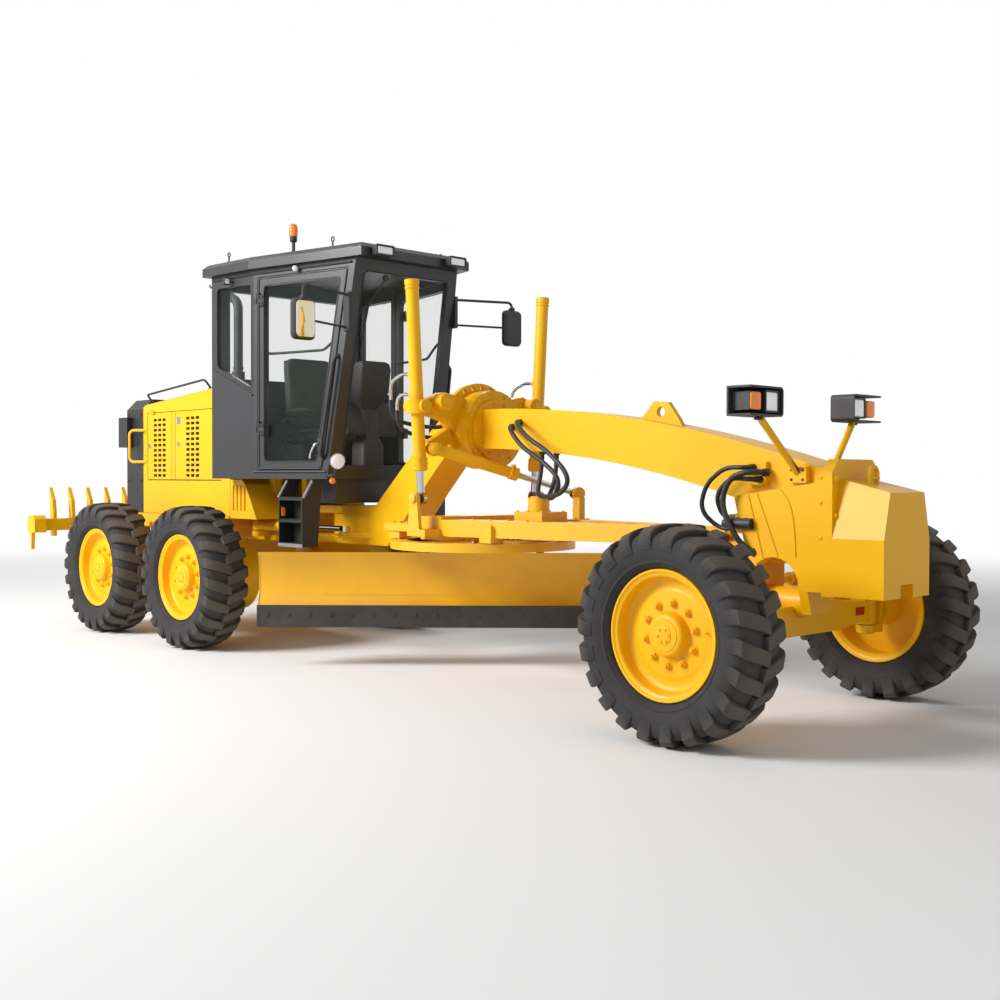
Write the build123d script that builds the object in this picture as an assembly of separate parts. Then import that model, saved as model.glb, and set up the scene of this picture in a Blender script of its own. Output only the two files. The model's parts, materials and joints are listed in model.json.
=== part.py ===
from build123d import *
from math import cos, radians, sin, sqrt, tan
import os

os.makedirs("parts", exist_ok=True)

# Millimetres. X runs forward, Y to the machine's left, Z up from the ground.
# Stations (the *_x values) are measured forward from the rearmost wheel hub.
tandem_spacing = 1540
front_axle_x = 6690
track_half = 1078
nose_x = 7440
ripper_reach = 1700
origin_x = (nose_x - ripper_reach) / 2

# Clearances
seat_gap = 0.3
slide_gap = 0.5
panel_gap = 6

# Wheels
tyre_radius = 597
tyre_half_width = 195
tread_half_width = 158
lug_count = 22
lug_height = 34
lug_half = 0.25
lug_gap = 10
lug_sweep = 0.5
lug_end_radius = 525
rim_half_width = 136
rim_flange_radius = 357
rim_flange = 14
rim_barrel_radius = 318
rim_wall = 13
dish_offset = 38
dish_thickness = 16
hub_radius = 112
hub_reach = 122
hub_inner_radius = 92
rear_hub_reach = 212
front_hub_reach = 108
spindle_radius = 50
spindle_reach = 60
stud_circle_radius = 170
stud_radius = 14
stud_height = 26
stud_count = 10
hub_z = tyre_radius

# Tandem cases
case_inner_y = 608
case_outer_y = 858
case_radius = 295
case_edge = 30
pivot_radius = 130
pivot_x = tandem_spacing / 2

# Rear frame
rail_half = 330
rail_bottom = 880
rail_top = 1070
rear_frame_x = -600
rail_front_x = 1640
hinge_x = 2230
hinge_pin_radius = 45
hinge_eye_radius = 112
hinge_low_z = 880
hinge_high_z = 1192
clevis_thickness = 62

# Front frame
beam_half = 147
leg_top_x = 3700
neck_start_x = 4215
beam_top_z = 1938
beam_bottom_z = 1647
saddle_x = 3990
saddle_z = 1793
drum_radius = 226
drum_half = 130
lock_start = 62
lock_end = 142
lock_slots = 5
bolster_half = 232
bolster_x = 6440
flange_x = 7052
flange_thickness = 68
flange_half = 250
flange_bottom = 770
flange_top = 1545
flange_corner = 70
bolster_rear_edge = [(bolster_x, 1330), (6520, 1043)]
port_reach = 30
rear_port_x = 6440

# Front axle
axle_z = 700
axle_boss_radius = 92
axle_boss_half = 138
axle_pin_radius = 45
axle_half_depth = 72
kingpin_y = 860
kingpin_radius = 30
knuckle_boss_radius = 62
axle_end_half = 98
yoke_thickness = 48
steer_arm = 218
steer_arm_thickness = 26
tie_rod_radius = 22
tie_end_radius = 30

arm_top_z = hub_z + axle_end_half + panel_gap + yoke_thickness + steer_arm_thickness
tie_z = arm_top_z + 5 + tie_rod_radius

# Drawbar and circle
ball_x = 6430
ball_z = 985
ball_radius = 58
ball_pin_radius = 25
circle_x = 3965
circle_radius = 700
circle_inner_radius = 572
circle_bottom = 905
circle_top = 967
circle_pivot_radius = 70
drawbar_bottom = 968
lift_x = 3930
lift_pin_z = 1283
eye_radius = 52
eye_pin_radius = 20
eye_thickness = 32
eye_space = 30
shift_eye_space = 42

# Lift cylinders
lift_top_y = 670
lift_top_z = 2860
lift_barrel_z = 1490
lift_barrel_y = 590
lift_barrel_radius = 48
lift_rod_radius = 28
trunnion_z = 1950
lift_lower = 810

# Blade
blade_angle = 46
blade_length = 3355
blade_along = -31
blade_back = 32
blade_top = 866
blade_bottom = 436
blade_bow = 78
blade_thickness = 20
edge_bottom = 302
edge_height = 165
edge_thickness = 19
tip_axis_back = 162
tip_axis_z = 505
rail_low_z = 520
rail_high_z = 770
slide_rail_height = 46
slide_rail_half = 1180
slide_back_y = 74
carrier_half = 560
circle_arm_u = 470

# Exhaust stack: (station, y), then the heights of the muffler and of the pipe's bend
stack_place = (930, -270)
muffler_radius = 60
muffler_top = 2400
pipe_radius = 42
pipe_bend_z = 3040

# Cab
cab_rear_x = 1370
cab_rear_half = 800
door_post_x = 1970
door_post_half = 760
cab_front_low_x = 2770
cab_front_high_x = 3068
cab_taper = 0.215
cab_low_z = 1420
cab_sill_z = 1466
cab_high_z = 3150
cab_wall = 50
glass_thickness = 6
roof_high_z = 3255
roof_overhang = 55
door_bottom_z = 1490
door_top_z = 3085
door_frame = 75

# Mirrors
mirror_x = 3135
mirror_y = 1075
mirror_width = 200
mirror_height = 305

# Hood
hood_rear_x = -260
hood_front_x = 1330
hood_half = 600
hood_bottom_z = 1090
hood_rear_top = 2130
hood_front_top = 2262
hood_corner = 26
hood_wall = 24
guard_rear_x = -600
guard_top = 2190
guard_corner = 100
hood_door_bottom = 1400
hood_door_top = 2050
louvre_rows = 12
louvre_pitch = 48
louvre_height = 26
louvre_width = 62
louvre_step = 86
rail_radius = 10
handle_radius = 14
hood_door_rear_x = -180
hood_door_front_x = 1180
hood_door_thickness = 18
lid_hinge_out = 12
lid_hinge_up = 5
lid_hinge_radius = 9
lid_hinge_length = 40
lid_hinge_stations = (-110, 1060)
louvre_stations = (-60, 560)

# Cab door hinges
door_hinge_x = 2018
door_hinge_y = 762
door_hinge_radius = 9
door_hinge_length = 42
door_hinge_levels = (1810, 2870)

# Boarding steps: treads as (height, depth)
step_rear_x = 2322
step_front_x = 2659
step_outer_y = 748
step_low_z = 876
step_high_z = 1270
step_plate = 14
step_treads = ((step_low_z, 150), (1070, 140), (step_high_z - 22, 146))
hood_rail_ends = (-235, 850)

# Articulation cylinders: base and rod pins as (station, y)
artic_base_x = 1500
artic_base_y = 420
artic_rod_x = 2560
artic_rod_y = 262
artic_z = 1010
artic_radius = 42
artic_bar_radius = 24

# Ripper: pivots behind the rear frame
ripper_pivot_x = -680
ripper_pivot_z = 960
ripper_arm_y = 330
ripper_beam_x = -1600
ripper_beam_half = 55
shank_back = 66
shank_front = 4
shank_half = 18
shank_spacing = 200
shank_count = 12
shank_low_z = 686
pocket_half = 62
ripper_cyl_x = -664
ripper_cyl_z = 1330
ripper_rod_x = -1440
ripper_rod_z = 1075

# Shift cylinder pins: (station, y, z)
shift_base = (4010, -520, 1645)
shift_end = (4510, 440, 1320)
shift_radius = 42


def at(x):
    return x - origin_x


def block(x0, x1, y0, y1, z0, z1):
    box = Box(x1 - x0, y1 - y0, z1 - z0)
    return Pos((at(x0) + at(x1)) / 2, (y0 + y1) / 2, (z0 + z1) / 2) * box


def side_plate(points, y0, y1):
    # An outline in the side view, given as stations and heights, extruded across the machine.
    line = Polyline(*[(at(x), y0, z) for x, z in points], close=True)
    return extrude(make_face(line), amount=y1 - y0, dir=(0, 1, 0))


def plan_plate(points, z0, z1):
    line = Polyline(*[(at(x), y, z0) for x, y in points], close=True)
    return extrude(make_face(line), amount=z1 - z0, dir=(0, 0, 1))


def cross_plate(points, x0, x1):
    # An outline across the machine, given as y and z, extruded forward.
    line = Polyline(*[(at(x0), y, z) for y, z in points], close=True)
    return extrude(make_face(line), amount=x1 - x0, dir=(1, 0, 0))


def rod(start, end, radius):
    # A round bar between two points given as (station, y, z).
    a = Vector(at(start[0]), start[1], start[2])
    b = Vector(at(end[0]), end[1], end[2])
    span = b - a
    base = Plane(origin=a, z_dir=span.normalized())
    return extrude(base * Circle(radius), amount=span.length)


def tube(start, end, radius, bore):
    return rod(start, end, radius) - rod(start, end, bore)


def bent_bar(points, radius, bend):
    # A round bar along straight runs, with the same bend at each corner.
    ends = [Vector(at(x), y, z) for x, y, z in points]
    path = FilletPolyline(*ends, radius=bend)
    start = Plane(origin=ends[0], z_dir=(ends[1] - ends[0]).normalized())
    return sweep(start * Circle(radius), path=path)


def both_sides(piece):
    return piece + mirror(piece, about=Plane.XZ)


def save(name, piece):
    export_step(piece, f"parts/{name}.step")


# Wheels: (name, station, side)
wheel_table = [
    ("rear_left", 0, 1),
    ("rear_right", 0, -1),
    ("middle_left", tandem_spacing, 1),
    ("middle_right", tandem_spacing, -1),
    ("front_left", front_axle_x, 1),
    ("front_right", front_axle_x, -1),
]


def spun(points):
    # A closed outline of (radius, offset along the axle) turned about the Y axis.
    line = Polyline(*[(r, y, 0) for r, y in points], close=True)
    return revolve(make_face(line), axis=Axis.Y)


def tyre_ring(radius, y, turns):
    # One ring of points about the axle, at the given turns in degrees from forward to up.
    return [(radius * cos(radians(t)), y, radius * sin(radians(t))) for t in turns]


def between_rings(low, high):
    # Triangles between two closed rings of points, where one may have more points than the other.
    a, b = len(low), len(high)
    faces = []
    i = j = 0
    while i < a or j < b:
        if j >= b or (i < a and i * b <= j * a):
            faces.append((low[i % a], low[(i + 1) % a], high[j % b]))
            i += 1
        else:
            faces.append((low[i % a], high[(j + 1) % b], high[j % b]))
            j += 1
    return faces


def tyre_half(side):
    # Rings from the middle of the tread over the lugs and down the sidewall to the bead.
    pitch = 360 / lug_count
    even = [k * pitch - 90 for k in range(lug_count)]
    starts = even if side > 0 else [start + pitch / 2 for start in even]

    def lugs(top, root, y, half, sweep):
        # Each lug has a flat top, and one point marks the bottom of the groove behind it.
        points = []
        for start in starts:
            turns = (start - half * pitch + sweep, start + half * pitch + sweep)
            points += tyre_ring(top / cos(radians(half * pitch)), side * y, turns)
            points += tyre_ring(root, side * y, [start + pitch / 2 + sweep])
        return points

    def plain(radius, y, sweep):
        return tyre_ring(radius, side * y, [start + sweep for start in even])

    facet = cos(radians(pitch / 2))
    inner = (rim_barrel_radius + seat_gap) / facet
    lip = (rim_flange_radius + 1) / facet
    bead = rim_half_width - rim_flange - seat_gap
    sweep = lug_sweep * pitch
    return [
        lugs(tyre_radius, tyre_radius - lug_height, lug_gap, lug_half, 0),
        lugs(tyre_radius - 9, tyre_radius - lug_height - 4, tread_half_width + 8, lug_half + 0.03, sweep),
        plain(lug_end_radius, tyre_half_width - 2, sweep),
        plain(455, tyre_half_width, sweep),
        plain(lip, bead, sweep),
        plain(inner, bead, sweep),
    ]


def make_tyre():
    # A closed skin of flat triangles: two halves whose lugs alternate, joined at the tread and the bore.
    left = tyre_half(1)
    right = tyre_half(-1)
    middle = tyre_ring(tyre_radius - lug_height, 0, [360 * k / lug_count - 90 for k in range(lug_count)])
    rings = list(reversed(left)) + [middle] + right
    triangles = []
    for low, high in zip(rings, rings[1:] + rings[:1]):
        triangles += between_rings(low, high)
    skin = Shell([Face(Wire.make_polygon([Vector(*p) for p in t], close=True)) for t in triangles])
    return Solid(skin)


def make_rim(inner_reach):
    flange_y = rim_half_width - rim_flange
    bore = rim_barrel_radius - rim_wall
    dish_out = dish_offset + dish_thickness
    outline = [
        (rim_barrel_radius, -flange_y),
        (rim_flange_radius, -flange_y),
        (rim_flange_radius, -rim_half_width),
        (bore, -rim_half_width),
        (bore, dish_offset),
        (hub_inner_radius + 30, dish_offset - 25),
        (hub_inner_radius, -inner_reach),
        (spindle_radius + slide_gap, -inner_reach),
        (spindle_radius + slide_gap, spindle_reach + seat_gap),
        (0, spindle_reach + seat_gap),
        (0, hub_reach),
        (hub_radius - 40, hub_reach),
        (hub_radius, hub_reach - 30),
        (hub_radius + 14, dish_out),
        (bore, dish_out),
        (bore, rim_half_width),
        (rim_flange_radius, rim_half_width),
        (rim_flange_radius, flange_y),
        (rim_barrel_radius, flange_y),
    ]
    rim = spun(outline)
    # Wheel studs stand on the dish in one circle.
    for k in range(stud_count):
        turn = 2 * 180 * k / stud_count
        stud = Rot(0, turn, 0) * Pos(stud_circle_radius, dish_out, 0)
        rim += stud * Rot(-90, 0, 0) * Cylinder(stud_radius, 2 * stud_height)
    return rim


def place_wheel(piece, station, side):
    turned = piece if side > 0 else mirror(piece, about=Plane.XZ)
    return Pos(at(station), side * track_half, hub_z) * turned


tyre = make_tyre()
rear_rim = make_rim(rear_hub_reach)
front_rim = make_rim(front_hub_reach)
for name, station, side in wheel_table:
    save(f"tyre_{name}", place_wheel(tyre, station, side))
    wheel_rim = front_rim if station == front_axle_x else rear_rim
    save(f"rim_{name}", place_wheel(wheel_rim, station, side))


def spindle(station, side, inner_y):
    outer_y = track_half + spindle_reach
    return rod((station, side * inner_y, hub_z), (station, side * outer_y, hub_z), spindle_radius)


def make_tandem(side):
    ends = [-case_radius, tandem_spacing + case_radius]
    outline = SlotOverall(ends[1] - ends[0], 2 * case_radius)
    plane = Plane(origin=(at(pivot_x), side * case_outer_y, hub_z), x_dir=(1, 0, 0), z_dir=(0, side, 0))
    face = plane * outline
    case = extrude(face, amount=-(case_outer_y - case_inner_y))
    outer = case.faces().filter_by(Axis.Y).sort_by(Axis.Y)[-1 if side > 0 else 0]
    case = chamfer(outer.edges(), case_edge)
    bore = (pivot_x, side * (case_inner_y - 5), hub_z), (pivot_x, side * (case_outer_y - 60), hub_z)
    case -= rod(bore[0], bore[1], pivot_radius + seat_gap)
    for station in (0, tandem_spacing):
        case += spindle(station, side, case_outer_y - 20)
    return case


save("tandem_case_left", make_tandem(1))
save("tandem_case_right", make_tandem(-1))


def make_rear_frame():
    # Two rails with cross members carry the hood and cab, and taper to the hinge clevis.
    rail = block(rear_frame_x, rail_front_x, rail_half - 90, rail_half, rail_bottom, rail_top)
    frame = both_sides(rail)
    for x0, x1 in ((rear_frame_x, rear_frame_x + 60), (500, 1040), (rail_front_x - 60, rail_front_x)):
        frame += block(x0, x1, -rail_half, rail_half, rail_bottom, rail_top)
    # The axle housing hangs below the rails and ends in the tandem trunnions.
    frame += block(pivot_x - 190, pivot_x + 190, -rail_half, rail_half, hub_z - 60, rail_bottom)
    reach = case_outer_y - 70
    frame += rod((pivot_x, -case_inner_y + 15, hub_z), (pivot_x, case_inner_y - 15, hub_z), 175)
    frame += rod((pivot_x, -reach, hub_z), (pivot_x, reach, hub_z), pivot_radius)
    # Upper and lower clevis plates hold the vertical hinge pin.
    for z0, z1 in clevis_levels():
        web = [
            (rail_front_x - 40, -rail_half),
            (hinge_x - 40, -hinge_eye_radius + 12),
            (hinge_x - 40, hinge_eye_radius - 12),
            (rail_front_x - 40, rail_half),
        ]
        frame += plan_plate(web, z0, z1)
        frame += rod((hinge_x, 0, z0), (hinge_x, 0, z1), hinge_eye_radius)
    frame += rod((hinge_x, 0, hinge_low_z), (hinge_x, 0, hinge_high_z), hinge_pin_radius)
    frame += block(rail_front_x - 60, rail_front_x, -rail_half, rail_half, hinge_low_z, hinge_high_z)
    # Cab mounts and hood sills.
    for x in (1420, 1580):
        frame += both_sides(block(x - 50, x + 50, 260, rail_half, rail_top, cab_low_z - seat_gap))
    frame += both_sides(block(1850, 1920, 60, 200, hinge_high_z - 5, cab_low_z - seat_gap))
    frame += both_sides(
        block(-590, 1300, rail_half, hood_half - 10, hood_bottom_z - 90, hood_bottom_z - seat_gap)
    )
    frame += both_sides(side_block())
    # Drilled ears carry the articulation cylinders and the ripper.
    for side in (1, -1):
        frame += artic_ear(artic_base_x, side * artic_base_y, side)
    frame += both_sides(ripper_ear()) + ripper_cylinder_ear()
    return frame


def clevis_levels():
    return [(hinge_low_z, hinge_low_z + clevis_thickness), (hinge_high_z - clevis_thickness, hinge_high_z)]


def side_block():
    # The slotted steel box that stands below the front of the hood on each side.
    x0 = hood_front_x + panel_gap
    points = [(x0, 1072), (x0, 1410), (1520, 1410), (1580, 1370), (1760, 1072)]
    box = side_plate(points, rail_half - 20, 600)
    for k in range(4):
        x = x0 + 40 + 62 * k
        box -= block(x, x + 22, 580, 610, 1140, 1360)
    return box


def artic_ear(x, y, side):
    z0 = artic_z - 96
    z1 = artic_z - artic_radius - panel_gap
    ear = block(x - 50, x + 50, min(y, side * 300), max(y, side * 300), z0, z1)
    ear += rod((x, y, z0), (x, y, z1), 50)
    return ear + rod((x, y, z0), (x, y, artic_z + 52), eye_pin_radius)


def ripper_ear():
    points = [
        (-590, 900), (ripper_pivot_x, 905), (ripper_pivot_x - 50, 960), (ripper_pivot_x, 1015), (-590, 1060)
    ]
    y1 = ripper_arm_y - 18 - panel_gap
    ear = side_plate(points, y1 - 38, y1)
    return ear + rod(
        (ripper_pivot_x, y1 - 38, ripper_pivot_z), (ripper_pivot_x, y1 + 46, ripper_pivot_z), eye_pin_radius
    )


def ripper_cylinder_ear():
    y0 = -90
    y1 = -50
    points = [
        (-590, rail_top - 60), (-640, rail_top - 60), (ripper_cyl_x - 45, ripper_cyl_z),
        (ripper_cyl_x - 20, ripper_cyl_z + 45)
    ]
    points += [
        (ripper_cyl_x + 30, ripper_cyl_z + 30), (-602, ripper_cyl_z - 60), (-602, rail_top),
        (-590, rail_top)
    ]
    ear = side_plate(points, y0, y1)
    return ear + rod((ripper_cyl_x, y0, ripper_cyl_z), (ripper_cyl_x, 44, ripper_cyl_z), eye_pin_radius)


save("rear_frame", make_rear_frame())


def make_engine():
    block_body = block(120, 980, -300, 300, rail_top + 60, 1780)
    head = block(180, 920, -150, 150, 1780, 1900)
    feet = both_sides(block(200, 300, 240, rail_half, rail_top + seat_gap, rail_top + 60))
    feet += both_sides(block(800, 900, 240, rail_half, rail_top + seat_gap, rail_top + 60))
    return block_body + head + feet + exhaust()


def exhaust():
    # The muffler stands on the engine and its pipe rises through the hood to a bend.
    x, y = stack_place
    stack = rod((x, y, 1770), (x, y, muffler_top), muffler_radius)
    outlet = [(x, y, muffler_top - 5), (x, y, pipe_bend_z), (x - 150, y, pipe_bend_z + 70)]
    return stack + bent_bar(outlet, pipe_radius, 110)


save("engine_block", make_engine())


def hood_solid(inset, x0, x1):
    def section(x):
        share = (x - hood_rear_x) / (hood_front_x - hood_rear_x)
        top = hood_rear_top + share * (hood_front_top - hood_rear_top) - inset
        side = hood_half - inset
        corner = hood_corner
        low = hood_bottom_z if inset == 0 else hood_bottom_z - 5
        points = [
            (-side, low),
            (-side, top - corner),
            (-side + corner, top),
            (side - corner, top),
            (side, top - corner),
            (side, low),
        ]
        return make_face(Polyline(*[(at(x), y, z) for y, z in points], close=True))

    return loft([section(x0), section(x1)], ruled=True)


def hood_door_points(grow):
    x0 = hood_door_rear_x - grow
    x1 = hood_door_front_x + grow
    return [
        (x0, hood_door_bottom - grow), (x1, hood_door_bottom - grow), (x1, hood_door_top + grow),
        (x0, hood_door_top + grow)
    ]


def lid_hinge(side, start, on_lid):
    # One knuckle of a lid hinge with its leaf on the lid or on the hood above it.
    y = side * (hood_half + lid_hinge_out)
    z = hood_door_top + lid_hinge_up
    end = start + lid_hinge_length - seat_gap
    knuckle = rod((start, y, z), (end, y, z), lid_hinge_radius)
    y_in = side * (hood_half - 4)
    low, high = (z - 24, z - lid_hinge_radius) if on_lid else (z - 2, z + 14)
    leaf = block(start, end, min(y, y_in), max(y, y_in), low, high)
    strap = block(start, end, min(y, y + side * 7), max(y, y + side * 7), z - 22, z) if on_lid else Part()
    return knuckle + leaf + strap


def make_hood():
    hood = hood_solid(0, hood_rear_x, hood_front_x)
    hood -= hood_solid(hood_wall, hood_rear_x - 10, hood_front_x + 10)
    hood += front_wall()
    for y0, y1 in (
        (hood_half - hood_wall - 2, hood_half + 2), (-hood_half - 2, -hood_half + hood_wall + 2)
    ):
        hood -= side_plate(hood_door_points(0), y0, y1)
    for x in lid_hinge_stations:
        hood += lid_hinge(1, x, False) + lid_hinge(-1, x, False)
    # The exhaust pipe passes through the top, and a grab handle stands at each rear corner.
    hood -= rod(
        (*stack_place, hood_rear_top - 60), (*stack_place, hood_front_top + 20), muffler_radius + 14
    )
    return hood + both_sides(grab_handle())


def grab_handle():
    near = (hood_rear_x + 50, -hood_half + 4)
    far = (hood_rear_x - 110, -hood_half - 90)
    return bent_bar([(*near, 1884), (*far, 1884), (*far, 1578), (*near, 1578)], handle_radius, 50)


def front_wall():
    wall = hood_solid(hood_wall, hood_front_x - 16, hood_front_x)
    cut = block(hood_front_x - 30, hood_front_x + 10, -rail_half - 70, rail_half + 70, 1000, 1240)
    return wall - cut


save("hood", make_hood())


def make_hood_door(side):
    # A flat lid with two groups of louvre slots.
    y_out = side * (hood_half - 3)
    y_in = side * (hood_half - 3 - hood_door_thickness)
    door = side_plate(hood_door_points(-panel_gap), min(y_in, y_out), max(y_in, y_out))
    slots = Part()
    for group_x in louvre_stations:
        for column in range(3):
            for row in range(louvre_rows):
                x = group_x + column * louvre_step
                z = hood_door_bottom + 34 + row * louvre_pitch
                slots += block(
                    x, x + louvre_width, min(y_in, y_out) - 5, max(y_in, y_out) + 5, z, z + louvre_height
                )
    door -= slots
    for x in lid_hinge_stations:
        door += lid_hinge(side, x + lid_hinge_length, True)
    return door


save("hood_door_left", make_hood_door(1))
save("hood_door_right", make_hood_door(-1))


def make_guard():
    # Radiator guard with chamfered top edges and a slatted rear grille.
    side = hood_half
    corner = guard_corner
    points = [(-side, hood_bottom_z), (-side, guard_top - corner), (-side + corner, guard_top)]
    points += [(-y, z) for y, z in reversed(points)]
    guard = cross_plate(points, guard_rear_x, hood_rear_x - seat_gap)
    guard -= block(guard_rear_x - 5, guard_rear_x + 70, -470, 470, 1200, 1940)
    for k in range(9):
        z = 1228 + k * 78
        guard += block(guard_rear_x + 10, guard_rear_x + 72, -470, 470, z, z + 26)
    # A tail lamp box wraps each rear corner, open to the rear.
    lamp = block(guard_rear_x - 60, guard_rear_x + 120, -side - 60, -side + 30, 1722, 2015)
    lamp -= block(guard_rear_x - 65, guard_rear_x - 48, -side - 48, -side + 18, 1734, 2003)
    return guard + both_sides(lamp)


save("radiator_guard", make_guard())


def cab_plan(front_x):
    # Half plan of the cab at one level: rear corner, door post and front post.
    front_half = door_post_half - cab_taper * (front_x - door_post_x)
    points = [
        (cab_rear_x, cab_rear_half),
        (door_post_x, door_post_half),
        (front_x, front_half),
    ]
    return points + [(x, -y) for x, y in reversed(points)]


def cab_prism(inset, z0, z1):
    def level(z):
        share = (z - cab_low_z) / (cab_high_z - cab_low_z)
        front_x = cab_front_low_x + share * (cab_front_high_x - cab_front_low_x)
        points = cab_plan(front_x)
        face = make_face(Polyline(*[(at(x), y, z) for x, y in points], close=True))
        return offset(face, amount=-inset, kind=Kind.INTERSECTION) if inset else face

    faces = [level(z0), level(z1)]
    return loft([Sketch() + f for f in faces], ruled=True)


def cab_front_at(z):
    share = (z - cab_low_z) / (cab_high_z - cab_low_z)
    return cab_front_low_x + share * (cab_front_high_x - cab_front_low_x)


def door_cut(grow):
    # The door opening between the door post and the leaning front post.
    z0 = door_bottom_z - grow
    z1 = door_top_z + grow
    back = door_post_x + 45 - grow
    return side_plate(
        [(back, z0), (cab_front_at(z0) - 62 + grow, z0), (cab_front_at(z1) - 62 + grow, z1), (back, z1)],
        300, 1000
    )


def door_window(grow):
    z0 = door_bottom_z + door_frame - grow
    z1 = door_top_z - door_frame + grow
    back = door_post_x + 45 + door_frame - grow
    front = 62 + door_frame - grow
    return side_plate(
        [(back, z0), (cab_front_at(z0) - front, z0), (cab_front_at(z1) - front, z1), (back, z1)], 300, 1000
    )


def quarter_window(grow):
    x0 = cab_rear_x + 80 - grow
    x1 = door_post_x - 30 + grow
    top = door_top_z - 40 + grow
    return side_plate([(x0, 2370 - grow), (x1, 2170 - grow), (x1, top), (x0, top)], 300, 1000)


def rear_window(grow):
    return block(
        cab_rear_x - 40, cab_rear_x + 120, -650 - grow, 650 + grow, 2290 - grow, door_top_z - 40 + grow
    )


def windshield(grow):
    z0 = 1530 - grow
    z1 = door_top_z - 30 + grow
    half = 455 + grow
    low = [(-half, z0), (half, z0), (half - 25, z1), (-half + 25, z1)]
    return cross_plate(low, cab_front_low_x - 140, cab_front_high_x + 200)


def cab_layer(inset, thickness, z0, z1):
    return cab_prism(inset, z0, z1) - cab_prism(inset + thickness, z0 - 1, z1 + 1)


def door_hinge(z, toward):
    # One knuckle of a cab door hinge with its leaf, rearward on the cab or forward on the door.
    top = z + door_hinge_length - seat_gap
    knuckle = rod((door_hinge_x, door_hinge_y, z), (door_hinge_x, door_hinge_y, top), door_hinge_radius)
    near = door_hinge_x + toward * 1
    far = door_hinge_x + toward * 36
    leaf = block(min(near, far), max(near, far), 735, door_hinge_y + 4, z, top)
    return knuckle + (leaf - cab_prism(cab_wall / 2, cab_low_z, cab_high_z))


def make_cab_frame():
    shell = cab_layer(0, cab_wall, cab_low_z, cab_high_z)
    shell -= both_sides(door_cut(0))
    shell -= both_sides(quarter_window(0))
    shell -= rear_window(0)
    shell -= windshield(0)
    floor = cab_prism(cab_wall / 2, cab_low_z, cab_sill_z)
    foot_well = block(2300, 2690, -440, 440, 1225, cab_low_z + 2)
    for z in door_hinge_levels:
        shell += both_sides(door_hinge(z, -1))
    return shell + floor + foot_well


def make_cab_glass():
    inset = (cab_wall - glass_thickness) / 2
    pane = cab_layer(inset, glass_thickness, cab_sill_z, cab_high_z - 5)
    panes = pane & both_sides(quarter_window(-seat_gap))
    panes += pane & rear_window(-seat_gap)
    panes += pane & windshield(-seat_gap)
    return panes


def make_door(side):
    shell = cab_layer(0, cab_wall - 4, door_bottom_z - 5, door_top_z + 5)
    door = (shell & door_cut(-panel_gap)) - door_window(0)
    for z in door_hinge_levels:
        door += door_hinge(z + door_hinge_length, 1)
    return door if side > 0 else mirror(door, about=Plane.XZ)


def make_door_glass(side):
    inset = (cab_wall - glass_thickness) / 2
    pane = cab_layer(inset, glass_thickness, cab_sill_z, cab_high_z - 5) & door_window(-seat_gap)
    return pane if side > 0 else mirror(pane, about=Plane.XZ)


def make_roof():
    points = cab_plan(cab_front_high_x + roof_overhang)
    face = make_face(Polyline(*[(at(x), y, cab_high_z + seat_gap) for x, y in points], close=True))
    wide = offset(face, amount=roof_overhang, kind=Kind.INTERSECTION)
    roof = extrude(Sketch() + wide, amount=roof_high_z - cab_high_z, dir=(0, 0, 1))
    top = roof.faces().sort_by(Axis.Z)[-1]
    return chamfer(top.edges(), 35)


save("cab_frame", make_cab_frame())
save("cab_glass", make_cab_glass())
save("cab_roof", make_roof())
for name, side in (("left", 1), ("right", -1)):
    save(f"door_{name}", make_door(side))
    save(f"door_glass_{name}", make_door_glass(side))


def make_seat():
    base = block(1760, 2060, -150, 150, cab_sill_z + seat_gap, 1720)
    cushion = block(1690, 2200, -250, 250, 1720, 1870)
    back = side_plate([(1650, 1870), (1780, 1870), (1700, 2480), (1600, 2480)], -240, 240)
    arms = both_sides(block(1740, 2120, 260, 330, 1960, 2030)) + both_sides(
        block(1740, 1790, 230, 300, 1830, 1990)
    )
    return base + cushion + back + arms


def make_console():
    # Steering column with its wheel, and a lever pod on each side of it.
    foot = block(2430, 2620, -110, 110, cab_sill_z + seat_gap, 1720)
    column = side_plate([(2480, 1700), (2610, 1700), (2480, 2080), (2400, 2080)], -70, 70)
    pods = both_sides(side_plate([(2400, 1800), (2600, 1780), (2480, 2080), (2330, 2060)], 60, 260))
    ring = Pos(at(2330), 0, 2150) * Rot(0, -30, 0) * Torus(180, 16)
    spoke = Pos(at(2330), 0, 2150) * Rot(0, -30, 0) * Box(24, 350, 14)
    post = rod((2440, 0, 2040), (2330, 0, 2150), 24)
    levers = Part()
    for k in range(4):
        y = 90 + k * 45
        levers += both_sides(rod((2400, y, 2040), (2340, y, 2200), 9))
    return foot + column + pods + ring + spoke + post + levers


save("seat", make_seat())
save("control_console", make_console())


def make_steps():
    # A shallow boxed ladder hangs from each edge of the cab floor, with side plates cut back at the top.
    outer = step_outer_y
    top = cab_low_z - seat_gap
    side = [
        (outer, step_low_z), (outer, step_high_z), (outer - 94, top), (outer - 190, top),
        (outer - 150, step_low_z)
    ]
    ladder = Part()
    for x in (step_rear_x, step_front_x - step_plate):
        ladder += cross_plate([(-y, z) for y, z in side], x, x + step_plate)
    for z, depth in step_treads:
        ladder += block(step_rear_x, step_front_x, -outer, -outer + depth, z, z + 22)
    ladder += block(step_rear_x, step_front_x, -outer + 136, -outer + 150, step_low_z, step_high_z)
    # Bright tubes edge the opening, and a rail stands along each top edge of the hood.
    for x in (step_rear_x - 9, step_front_x + 9):
        ladder += rod((x, -outer + 4, step_high_z - 4), (x, -outer + 92, top - 14), 10)
    return both_sides(ladder + hood_rail())


def hood_top_at(x):
    return hood_rear_top + (x - hood_rear_x) / (hood_front_x - hood_rear_x) * (
        hood_front_top - hood_rear_top
    )


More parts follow.
